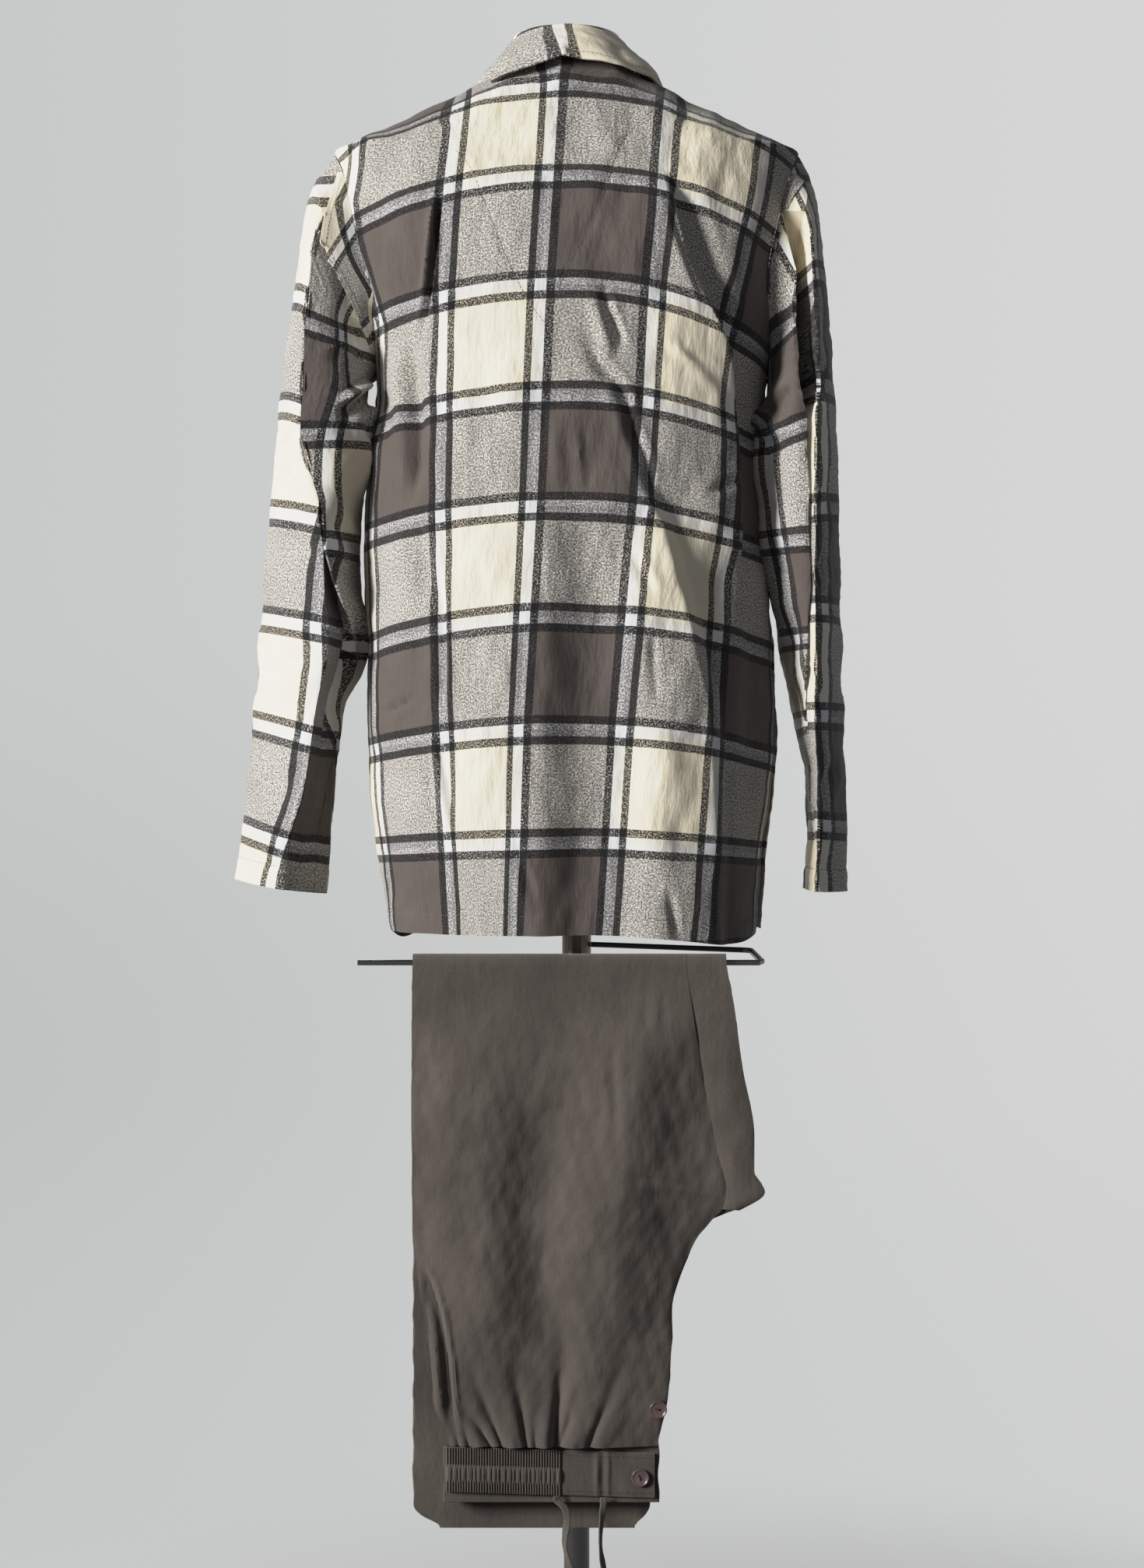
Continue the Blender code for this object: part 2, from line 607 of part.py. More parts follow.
def section_point(z, angle, inset=(0.0, 0.0, 0.0)):
    """A point of the shirt's section at a height. The angle is 0 at the centre back, 90 degrees at
    the right side and 180 at the centre front."""
    row = read_table(BODY, "z", z)
    side_inset, back_inset, front_inset = inset
    middle = (row.left + row.right) / 2
    half = (row.right - row.left) / 2 - side_inset
    toward = math.cos(angle)
    depth = row.back - back_inset if toward > 0 else row.front - front_inset
    x = middle + half * signed_power(math.sin(angle), SECTION_POWER)
    y = -depth * signed_power(toward, SECTION_POWER)
    return Vector((x, y, z))


def neck_point(angle):
    """The neck seam, high at the back and low at the front."""
    toward = math.cos(angle)
    depth = NECK_BACK if toward > 0 else NECK_FRONT
    rise = NECK_BACK_RISE if toward > 0 else NECK_FRONT_DROP
    return Vector((
        NECK_X + NECK_HALF_WIDTH * math.sin(angle),
        -depth * toward,
        NECK_SIDE_Z + rise * toward,
    ))


def yoke_point(angle, up):
    """Between the shoulder section, up = 0, and the neck seam, up = 1."""
    low = section_point(SHOULDER_Z, angle)
    high = neck_point(angle)
    point = low.lerp(high, up)
    proud = YOKE_FULLNESS * math.sin(math.pi * min(1.0, max(0.0, up))) * abs(math.cos(angle))
    point.y -= math.copysign(proud, math.cos(angle))
    return point


def armhole_turn(step):
    """The way round half the armhole, 0 at its top and pi at the underarm."""
    return math.pi * step / ARMHOLE_STEPS


def armhole_angle(z, turn, back):
    """Where a panel ends beside the armhole, as an angle from its own centre line."""
    half_depth = (ARMHOLE_BACK if back else ARMHOLE_FRONT) * math.sin(turn)
    row = read_table(BODY, "z", z)
    depth = row.back if back else row.front
    return math.acos((half_depth / depth) ** (1 / SECTION_POWER))


def hem_z(across):
    return HEM_Z - HEM_DIP * math.exp(-((across - HEM_DIP_AT) / HEM_DIP_WIDTH) ** 2)


def body_levels():
    """The body's rows from the neck down. Each is a kind with its measure."""
    levels = [("yoke", 1 - step / NECK_STEPS) for step in range(-1, NECK_STEPS)]
    levels += [("armhole", armhole_turn(step)) for step in range(ARMHOLE_STEPS + 1)]
    levels += [("skirt", (step + 1) / SKIRT_STEPS) for step in range(SKIRT_STEPS + 1)]
    return levels


def body_panel_grid(columns, back, angle_at, folds):
    """A panel's grid with its border. angle_at(c, widest) gives the angle of a column where the
    panel's edges lie at the angle widest from its centre line."""
    grid = []
    quarter = math.pi / 2
    for kind, measure in body_levels():
        line = []
        for c in range(-1, columns + 2):
            if kind == "yoke":
                line.append(yoke_point(angle_at(c, quarter), measure))
                continue
            if kind == "armhole":
                z = UNDERARM_Z + (SHOULDER_Z - UNDERARM_Z) * (1 + math.cos(measure)) / 2
                widest = armhole_angle(z, measure, back)
            else:
                across = min(1.0, max(0.0, c / columns))
                z = UNDERARM_Z + (hem_z(across) - UNDERARM_Z) * measure
                widest = quarter
            line.append(section_point(z, angle_at(c, widest)))
        grid.append(line)
    normals = grid_normals(grid, wrap=False)
    for r, row in enumerate(normals, 1):
        for c, normal in enumerate(row, 1):
            point = grid[r][c]
            grid[r][c] = point - normal * fold_depth(folds, point.x, point.z)
    return grid


def panel_wall(name, grid, thickness, material_name):
    outer = inside_of_border(grid, wrap=False)
    normals = grid_normals(grid, wrap=False)
    inner = offset_grid(outer, normals, -thickness)
    closed_wall(name, outer, inner, material_name)
    return outer


def build_back():
    """The back panel, from the left side seam to the right one."""
    trim = SEAM_GAP / 2

    def angle_at(c, widest):
        return -widest + 2 * widest * c / BACK_COLUMNS

    grid = body_panel_grid(BACK_COLUMNS, True, angle_at, BACK_FOLDS)
    for line in grid:
        for c, point in enumerate(line):
            below = smooth_step((VENT_TOP - point.z) / (VENT_TOP - HEM_Z))
            side = abs(2 * (c - 1) / BACK_COLUMNS - 1)
            point.y -= trim + VENT_CURL * below * smooth_step((side - 0.8) / 0.2)
    return panel_wall("shirt_back", grid, SHIRT_CLOTH, "flannel")


def build_front(side):
    """One front, from its side seam to its edge past the centre. Side is -1 for the wearer's left
    front, which lies on top, and 1 for the right."""
    past = math.asin((FRONT_LAP / FRONT_HALF_WIDTH) ** (1 / SECTION_POWER))
    trim = SEAM_GAP / 2

    def angle_at(c, widest):
        share = c / FRONT_COLUMNS if side > 0 else 1 - c / FRONT_COLUMNS
        return side * (math.pi - widest + (widest + past) * share)

    grid = body_panel_grid(FRONT_COLUMNS, False, angle_at, FRONT_FOLDS)
    for line in grid:
        for point in line:
            point.y += trim
            if side < 0:
                point.y += LAP_STEP * smooth_step((point.x + LAP_RAMP) / (LAP_RAMP - LAP_FLAT))
    name = "shirt_front_left" if side < 0 else "shirt_front_right"
    return panel_wall(name, grid, SHIRT_CLOTH, "flannel")


def armhole_ring(back, front, left):
    """The armhole's edge as the panels leave it, from the top by way of the back to the underarm
    and up the front."""
    rows = range(NECK_STEPS, NECK_STEPS + ARMHOLE_STEPS + 1)
    back_edge = [back[r][0 if left else -1] for r in rows]
    front_edge = [front[r][-1 if left else 0] for r in rows]
    ring = [back_edge[0].lerp(front_edge[0], 0.5)]
    ring += back_edge[1:-1]
    ring.append(back_edge[-1].lerp(front_edge[-1], 0.5))
    ring += reversed(front_edge[1:-1])
    return ring


def sleeve_ring(row, kinks):
    """One ring of a sleeve. Its four corners are the outer edge, the back crease, the inner edge
    and the front crease, and quarter curves join them."""
    outer = Vector((row.outer_x, 0.0, row.outer_z))
    inner = Vector((row.inner_x, 0.0, row.inner_z))
    count = 2 * ARMHOLE_STEPS
    ring = []
    for k in range(count):
        turn = 2 * math.pi * k / count
        toward_back = math.sin(turn)
        crease = outer.lerp(inner, row.crease if toward_back >= 0 else 0.5)
        target = outer if math.cos(turn) >= 0 else inner
        point = crease.lerp(target, abs(math.cos(turn)) ** SLEEVE_POWER)
        depth = row.back if toward_back >= 0 else row.front
        point.y = -depth * signed_power(toward_back, SLEEVE_POWER)
        centre = outer.lerp(inner, 0.5)
        for kink in kinks:
            apart = (math.degrees(turn) - kink.around + 180) % 360 - 180
            near = math.exp(-((point.z - kink.z) / kink.reach) ** 2 - (apart / kink.spread) ** 2)
            point += (centre - point).normalized() * kink.depth * near
        ring.append(point)
    return ring


def row_between(low, high, share):
    values = [a + (b - a) * share for a, b in zip(low, high)]
    return SleeveRow(*values)


def build_sleeve(name, rows, kinks, armhole):
    """A sleeve from its armhole seam down to its open cuff."""
    rings = []
    for low, high in zip(rows, rows[1:]):
        rings.append(sleeve_ring(low, kinks))
        if ELBOW_BOTTOM < high.outer_z < ELBOW_TOP:
            rings.append(sleeve_ring(row_between(low, high, 0.5), kinks))
    rings.append(sleeve_ring(rows[-1], kinks))
    seam = [edge + (point - edge).normalized() * ARMHOLE_GAP for edge, point in zip(armhole, rings[0])]
    grid = [seam] + rings
    if rows[0].outer_x > 0:
        grid = [list(reversed(ring)) for ring in grid]
    before = [a * 2 - b for a, b in zip(grid[0], grid[1])]
    after = [a * 2 - b for a, b in zip(grid[-1], grid[-2])]
    normals = grid_normals([before] + grid + [after], wrap=True)
    inner = offset_grid(grid, normals, -SHIRT_CLOTH)
    closed_wall(name, grid, inner, "flannel", wrap=True)


# ---------------------------------------------------------------- collar, buttons

def collar_section(degrees):
    """The collar's outer face at an angle, from the stand's seam inside the neck, over the roll and
    down the fall to its edge."""
    row = read_table(COLLAR, "angle", abs(degrees))
    angle = math.radians(degrees)
    sign = math.copysign(1.0, degrees)
    seam = neck_point(angle)
    radial = Vector((math.sin(angle), -math.cos(angle), 0.0))
    axis = Vector((NECK_X, 0.0, 0.0))
    seam_in = seam - radial * SHIRT_CLOTH + Vector((0, 0, SEAM_GAP * 2))
    top = axis + radial * row.roll + Vector((0, 0, row.roll_z))
    edge = axis + Vector((sign * row.edge_x, row.edge_y, row.edge_z))
    out_of_fall = edge - top
    out_of_fall.z = 0
    out_of_fall.normalize()
    stand_top = top - out_of_fall * ROLL_RADIUS - Vector((0, 0, ROLL_RADIUS))
    fall_top = top + out_of_fall * ROLL_RADIUS - Vector((0, 0, ROLL_RADIUS))
    section = [seam_in, seam_in.lerp(stand_top, 0.5), stand_top]
    for turn in (0.25, 0.5, 0.75):
        angle_up = math.pi * turn
        across = -math.cos(angle_up) * ROLL_RADIUS
        up = math.sin(angle_up) * ROLL_RADIUS - ROLL_RADIUS
        section.append(top + out_of_fall * across + Vector((0, 0, up)))
    section.append(fall_top)
    for share in (0.33, 0.67, 1.0):
        bow = out_of_fall * FALL_CURVE * math.sin(math.pi * share)
        section.append(fall_top.lerp(edge, share) + bow)
    return section


def build_collar():
    """The fold-over collar, one piece round the neck from front end to front end."""
    last = COLLAR[-1].angle
    steps = round(2 * last / COLLAR_STEP)
    angles = [-last + 2 * last * step / steps for step in range(-1, steps + 2)]
    columns = []
    for degrees in angles:
        held = max(-last, min(last, degrees))
        columns.append(collar_section(held))
    columns[0] = [a * 2 - b for a, b in zip(columns[1], columns[2])]
    columns[-1] = [a * 2 - b for a, b in zip(columns[-2], columns[-3])]
    count = len(columns[0])
    grid = [[column[r] for column in columns] for r in range(count)]
    above = [a * 2 - b for a, b in zip(grid[0], grid[1])]
    below = [a * 2 - b for a, b in zip(grid[-1], grid[-2])]
    grid = [above] + grid + [below]
    panel_wall("shirt_collar", grid, COLLAR_CLOTH, "flannel")


def build_button(name, centre, outward, radius, height, sides=12):
    """A dished button whose flat back is at the given centre."""
    profile = (
        (0.0, 0.0),
        (0.80 * radius, 0.0),
        (radius, 0.40 * height),
        (0.84 * radius, height),
        (0.66 * radius, 0.66 * height),
        (0.0, 0.60 * height),
    )
    made = turned(name, profile, (0.0, 0.0), "button", sides)
    turn = Vector((0, 0, 1)).rotation_difference(outward)
    made.rotation_mode = "QUATERNION"
    made.rotation_quaternion = turn
    made.location = centre
    return made


def build_shirt_buttons():
    """Five buttons down the centre front, on the left front."""
    for number, z in enumerate(SHIRT_BUTTONS, 1):
        above = section_point(z + BUTTON_RADIUS, math.pi)
        below = section_point(z - BUTTON_RADIUS, math.pi)
        slope = (above - below).normalized()
        outward = slope.cross(Vector((1, 0, 0)))
        rest = above.lerp(below, 0.5)
        centre = rest + Vector((0, SEAM_GAP / 2 + LAP_STEP, 0)) + outward * BUTTON_LIFT
        build_button(f"shirt_button_{number}", centre, outward, BUTTON_RADIUS, BUTTON_HEIGHT)


# ---------------------------------------------------------------- dress form and stand

def form_inset(z):
    row = read_table(FORM, "z", z)
    return row.side, row.back, row.front


def build_form():
    """The limbless form: the shirt's own sections moved in, and a neck."""
    count = FORM_COLUMNS
    angles = [2 * math.pi * k / count for k in range(count)]
    yoke = []
    for step in range(NECK_STEPS + 1, -1, -1):
        yoke.append([yoke_point(angle, step / NECK_STEPS) for angle in angles])
    yoke.append([section_point(FORM_LEVELS[0], angle) for angle in angles])
    normals = grid_normals(yoke, wrap=True)
    rest = SHIRT_CLOTH + FORM_CLEARANCE
    rings = []
    for z, radius in FORM_NECK:
        rings.append([Vector((NECK_X + radius * math.sin(a), -radius * math.cos(a), z)) for a in angles])
    rings += offset_grid(yoke[1:-2], normals, -rest)
    rings += offset_grid(yoke[-2:-1], normals[-1:], -rest - FORM_CLEARANCE * 2)
    for z in FORM_LEVELS:
        rings.append([section_point(z, angle, form_inset(z)) for angle in angles])
    points = [point for ring in rings for point in ring]
    faces = []
    for r in range(len(rings) - 1):
        for c in range(count):
            after = (c + 1) % count
            faces.append([r * count + c, (r + 1) * count + c, (r + 1) * count + after, r * count + after])
    faces.append(list(range(count)))
    faces.append([(len(rings) - 1) * count + c for c in reversed(range(count))])
    mesh_object("dress_form", points, faces, "form")


def build_neck_cap():
    bevel = 0.0040
    profile = (
        (0.0, CAP_BASE_Z),
        (NECK_CAP_RADIUS - bevel, CAP_BASE_Z),
        (NECK_CAP_RADIUS, CAP_BASE_Z + bevel),
        (NECK_CAP_RADIUS, NECK_CAP_TOP - bevel),
        (NECK_CAP_RADIUS - bevel, NECK_CAP_TOP),
        (0.0, NECK_CAP_TOP),
    )
    turned("neck_cap", profile, (NECK_X, 0.0), "cap", 24)


def build_stand():
    """The round foot, the two poles, their lock ring and the hub that carries the rail."""
    edge = 0.0025
    foot = [
        (0.0, 0.0),
        (FOOT_RADIUS - edge, 0.0),
        (FOOT_RADIUS, edge),
        (FOOT_RADIUS, FOOT_THICKNESS - edge),
        (FOOT_RADIUS - edge, FOOT_THICKNESS),
    ]
    foot += [(ring.radius, FOOT_THICKNESS + ring.height) for ring in FOOT_BOSS]
    boss_top = foot[-1][1]
    foot.append((0.0, boss_top))
    turned("foot", foot, (0, 0), "black")
    for name, radius, low, high in (
        ("pole_lower", LOWER_POLE_RADIUS, boss_top + SEAM_GAP, POLE_SPLIT),
        ("pole_upper", UPPER_POLE_RADIUS, POLE_SPLIT + SEAM_GAP, FORM_BOTTOM - SEAM_GAP),
    ):
        turned(name, ((0, low), (radius, low), (radius, high), (0, high)), (0, 0), "black", 20)
    collar_ring("pole_lock", LOWER_POLE_RADIUS, LOCK_WALL, POLE_SPLIT - LOCK_HEIGHT, POLE_SPLIT, "black")
    wall = HUB_RADIUS - UPPER_POLE_RADIUS - SEAM_GAP
    collar_ring("rail_hub", UPPER_POLE_RADIUS, wall, HUB_BOTTOM, HUB_TOP, "bronze")


def collar_ring(name, pole_radius, wall, low, high, material_name):
    """A ring round a pole, bevelled at its outer edges."""
    bevel = 0.001
    bore = pole_radius + SEAM_GAP
    outline = (
        (bore, low),
        (bore + wall - bevel, low),
        (bore + wall, low + bevel),
        (bore + wall, high - bevel),
        (bore + wall - bevel, high),
        (bore, high),
    )
    ring_about_axis(name, outline, (0, 0), material_name)


def strip_solid(name, stations, height, depth, material_name):
    """A flat bar along a level line of stations, mitred at its corners."""
    part = RAIL_CHAMFER
    corners = ((-1, -part), (-part, -1), (part, -1), (1, -part), (1, part), (part, 1), (-part, 1), (-1, part))
    points = []
    count = len(stations)
    for i, station in enumerate(stations):
        here = Vector(station)
        before = Vector(stations[max(i - 1, 0)])
        after = Vector(stations[min(i + 1, count - 1)])
        into = (here - before).normalized() if i else (after - here).normalized()
        out = (after - here).normalized() if i < count - 1 else into
        side_in = Vector((-into.y, into.x, 0)).normalized()
        side_out = Vector((-out.y, out.x, 0)).normalized()
        mitre = (side_in + side_out).normalized()
        mitre *= depth / 2 / max(mitre.dot(side_in), 0.3)
        up = Vector((0, 0, height / 2))
        for across, rise in corners:
            points.append(here + mitre * across + up * rise)
    ring = len(corners)
    faces = []
    for i in range(count - 1):
        for k in range(ring):
            after = (k + 1) % ring
            faces.append([i * ring + k, i * ring + after, (i + 1) * ring + after, (i + 1) * ring + k])
    faces.append(list(range(ring)))
    faces.append([(count - 1) * ring + k for k in reversed(range(ring))])
    mesh_object(name, points, faces, material_name, 30)


def build_rail():
    """The trouser rail: an arm from the hub, a short return and the bar that the trousers hang on."""
    strip_solid("trouser_rail", RAIL, RAIL_HEIGHT, RAIL_DEPTH, "black")


# ---------------------------------------------------------------- folded trousers

def drape_point(x, along, height):
    """A point of the cloth over the bar. Along runs from the top of the fold, to -Y when it is
    negative and to +Y when positive, and height is how far the point lies off the inner face."""
    radius = FOLD_RADIUS + height
    quarter = math.pi / 2 * FOLD_RADIUS
    side = math.copysign(1.0, along)
    if abs(along) <= quarter:
        angle = along / FOLD_RADIUS
        return Vector((x, RAIL_Y + radius * math.sin(angle), FOLD_Z + radius * math.cos(angle)))
    return Vector((x, RAIL_Y + side * radius, FOLD_Z - (abs(along) - quarter)))


def along_from_z(z, near):
    quarter = math.pi / 2 * FOLD_RADIUS
    along = quarter + max(0.0, FOLD_Z - z)
    return -along if near else along


def drape_z(along):
    quarter = math.pi / 2 * FOLD_RADIUS
    if abs(along) <= quarter:
        return FOLD_Z + FOLD_RADIUS
    return FOLD_Z - (abs(along) - quarter)


def trouser_row(along):
    if along < 0:
        return read_table(NEAR_SIDE, "z", drape_z(along))
    return read_table(FAR_SIDE, "z", drape_z(along))


def hidden_thickness(along):
    table = NEAR_THICKNESS if along < 0 else FAR_THICKNESS
    return read_table(table, "along", abs(along)).thickness


def drape_stations(near_levels, far_levels):
    """Places along the cloth from one end to the other, close together over the bar."""
    quarter = math.pi / 2 * FOLD_RADIUS
    stations = [along_from_z(z, True) for z in near_levels]
    stations += [-quarter + 2 * quarter * step / FOLD_STEPS for step in range(FOLD_STEPS + 1)]
    stations += [along_from_z(z, False) for z in far_levels]
    return stations


def looseness(along):
    """0 where the cloth is pressed on the bar, 1 where it hangs free."""
    return smooth_step((abs(along) - PRESSED_ALONG) / (LOOSE_ALONG - PRESSED_ALONG))


def build_hidden_layers():
    """The layers inside the folded trousers: the near leg's back, and the whole far leg. One closed
    solid, grooved round its edges where the layers part."""
    stations = drape_stations(HIDDEN_LEVELS, FAR_LEVELS)
    columns = HIDDEN_COLUMNS
    rings = 2 * LAYER_EDGES + 1
    levels = []
    for ring in range(rings):
        share = ring / (rings - 1)
        out = LAYER_GROOVE if ring % 2 else 0.0
        grid = []
        for i, along in enumerate(stations):
            row = trouser_row(along)
            thick = hidden_thickness(along)
            end_out = out if i == len(stations) - 1 else -out if i == 0 else 0.0
            line = []
            for c in range(columns + 1):
                spread = 2 * c / columns - 1
                x = (row.left + row.right) / 2 + spread * ((row.right - row.left) / 2 - HIDDEN_TUCK)
                if abs(spread) == 1:
                    x += out * spread
                height = SEAM_GAP + (thick - SEAM_GAP) * share
                line.append(drape_point(x, along + end_out, height))
            grid.append(line)
        levels.append(grid)
    rows = len(stations)
    across = columns + 1
    border = [(0, c) for c in range(across)]
    border += [(r, columns) for r in range(1, rows)]
    border += [(rows - 1, c) for c in reversed(range(columns))]
    border += [(r, 0) for r in reversed(range(1, rows - 1))]
    points = [p for row in levels[0] for p in row]
    points += [p for row in levels[-1] for p in row]
    half = rows * across

    def face_number(place, top):
        return top * half + place[0] * across + place[1]

    loops = [[face_number(place, 0) for place in border]]
    for ring in range(1, rings - 1):
        loop = []
        for r, c in border:
            points.append(levels[ring][r][c])
            loop.append(len(points) - 1)
        loops.append(loop)
    loops.append([face_number(place, 1) for place in border])
    faces = []
    for r in range(rows - 1):
        for c in range(columns):
            corners = [(r, c), (r, c + 1), (r + 1, c + 1), (r + 1, c)]
            faces.append([face_number(place, 0) for place in corners])
            faces.append([face_number(place, 1) for place in reversed(corners)])
    for low, high in zip(loops, loops[1:]):
        for k in range(len(border)):
            after = (k + 1) % len(border)
            faces.append([low[k], low[after], high[after], high[k]])
    mesh_object("trousers_hidden_layers", points, faces, "jersey")


def pleat_depth(column, z):
    """How far the gathers sink one column of the near leg's front panel at a height."""
    depth = 0.0
    for pleat in PLEATS:
        near = max(0.0, 1 - abs(column - pleat.column))
        depth += pleat.depth * near * smooth_step((pleat.top - z) / (pleat.top - WAIST_SEAM_LEFT))
    return depth


def leg_height(x, along, share):
    """How far the near leg's outer face lies off the fold's inner face."""
    base = hidden_thickness(along) + SEAM_GAP + TROUSER_CLOTH
    z = drape_z(along)
    away = looseness(along)
    room = LEG_FULLNESS * away * math.sin(math.pi * min(1.0, max(0.0, share))) ** 0.6
    if along < 0:
        folds = fold_depth(TROUSER_FOLDS, x, z) + pleat_depth(share * LEG_COLUMNS, z)
    else:
        folds = fold_depth(TROUSER_FOLDS, x, z)
    return base + max(0.0, room - folds * away)


def build_leg_front():
    """The near leg's front panel: from the waistband up over the bar and down to the hem."""
    stations = drape_stations(FRONT_LEVELS, FAR_LEVELS)
    outer = []
    inner = []
    for along in stations:
        row = trouser_row(along)
        line = []
        under = []
        for c in range(LEG_COLUMNS + 1):
            share = c / LEG_COLUMNS
            x = row.left + (row.seam - SEAM_GAP - row.left) * share
            height = leg_height(x, along, share)
            line.append(drape_point(x, along, height))
            under.append(drape_point(x, along, height - TROUSER_CLOTH))
        outer.append(line)
        inner.append(under)
    closed_wall("trousers_leg_front", outer, inner, "jersey")


def build_leg_back():
    """The strip of the near leg's back panel that shows past the inseam and the front rise's foot."""
    stations = drape_stations(STRIP_LEVELS, FAR_LEVELS)
    columns = 2
    outer = []
    inner = []
    for along in stations:
        row = trouser_row(along)
        line = []
        under = []
        for c in range(columns + 1):
            share = c / columns
            x = row.seam + (row.right - row.seam) * share
            swell = STRIP_FULLNESS * math.sin(math.pi * share) * looseness(along)
            height = hidden_thickness(along) + SEAM_GAP + TROUSER_CLOTH + swell
            line.append(drape_point(x, along, height))
            under.append(drape_point(x, along, height - TROUSER_CLOTH))
        outer.append(line)
        inner.append(under)
    closed_wall("trousers_leg_back", outer, inner, "jersey")


def waist_seam_z(x):
    share = (x - ELASTIC_LEFT) / (WAISTBAND_RIGHT - ELASTIC_LEFT)
    return WAIST_SEAM_LEFT + (WAIST_SEAM_RIGHT - WAIST_SEAM_LEFT) * share


def build_waistband(name, left, right, columns, levels, lift):
    """A stretch of the near half of the waistband. Lift gives what stands proud of its plain face
    at a column and a share of the height."""
    outer = []
    inner = []
    for level in levels:
        line = []
        under = []
        for c in range(columns + 1):
            x = left + (right - left) * c / columns
            z = waist_seam_z(x) - level * WAISTBAND_HEIGHT
            along = along_from_z(z, True)
            base = hidden_thickness(along) + 2 * SEAM_GAP
            line.append(drape_point(x, along, base + WAISTBAND_THICKNESS + lift(c, level)))
            under.append(drape_point(x, along, base))
        outer.append(line)
        inner.append(under)
    closed_wall(name, outer, inner, "jersey")


def build_waistbands():
    """The shirred elastic, and the plain stretch towards the fly."""
    stitched = (0.27, 0.75)

    def shirring(c, level):
        rib = RIB_HEIGHT if c % 2 else 0.0
        puff = PUFF_HEIGHT if stitched[0] < level < stitched[1] else 0.0
        return rib + puff - (PRESSED if level in (0.0, 1.0) else 0.0)

    levels = (0.0, stitched[0], (stitched[0] + stitched[1]) / 2, stitched[1], 1.0)
    build_waistband("waistband_elastic", ELASTIC_LEFT, ELASTIC_RIGHT, 2 * ELASTIC_RIBS, levels, shirring)

    def plain(c, level):
        return -PRESSED if level in (0.0, 1.0) else 0.0

    build_waistband("waistband_plain", ELASTIC_RIGHT + SEAM_GAP, WAISTBAND_RIGHT, 6,
                    (0.0, 0.1, 0.5, 0.9, 1.0), plain)


def build_trouser_buttons():
    for name, x, z in TROUSER_BUTTONS:
        along = along_from_z(z, True)
        if z > WAIST_SEAM_LEFT:
            row = trouser_row(along)
            height = 0.0
            for place in (x - BUTTON_RADIUS, x, x + BUTTON_RADIUS):
                share = (place - row.left) / (row.seam - row.left)
                height = max(height, leg_height(place, along, share))
        else:
            height = hidden_thickness(along) + 2 * SEAM_GAP + WAISTBAND_THICKNESS
        centre = drape_point(x, along, height + SEAM_GAP)
        build_button(name, centre, Vector((0, -1, 0)), BUTTON_RADIUS, BUTTON_HEIGHT)


def build_drawstring(name, points):
    curve = bpy.data.curves.new(name, "CURVE")
    curve.dimensions = "3D"
    curve.bevel_depth = DRAWSTRING_WIDTH / 2
    curve.bevel_resolution = 2
    curve.use_fill_caps = True
    spline = curve.splines.new("POLY")
    spline.points.add(len(points) - 1)
    for place, point in zip(spline.points, points):
        place.co = (*point, 1.0)
    curve.materials.append(material("jersey"))
    made = bpy.data.objects.new(name, curve)
    bpy.context.scene.collection.objects.link(made)


# ---------------------------------------------------------------- everything

def main():
    clear_scene()
    back = build_back()
    front_left = build_front(-1)
    front_right = build_front(1)
    build_sleeve("sleeve_left", LEFT_SLEEVE, LEFT_KINKS, armhole_ring(back, front_left, True))
    build_sleeve("sleeve_right", RIGHT_SLEEVE, RIGHT_KINKS, armhole_ring(back, front_right, False))
    build_collar()
    build_shirt_buttons()
    build_form()
    build_neck_cap()
    build_stand()
    build_rail()
    build_hidden_layers()
    build_leg_front()
    build_leg_back()
    build_waistbands()
    build_trouser_buttons()
    build_drawstring("drawstring_left", DRAWSTRING_LEFT)
    build_drawstring("drawstring_right", DRAWSTRING_RIGHT)


main()
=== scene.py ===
"""Looks of the pyjama set on its dress-form stand.

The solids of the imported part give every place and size. This script dresses them: fine cloth with its
creases, the woven check, brushed jersey, sewing, buttons, and the stand's finishes.

Units are metres, +Z is up, -Y is the shirt's back and -X the wearer's left. Check coordinates are
counted in pitches of the check: a stripe group is centred on each whole number, and the ground between
an even number and the next is taupe, after an odd number cream.
"""

import math
from collections import namedtuple

import bpy
import numpy as np
from mathutils import Matrix, Vector


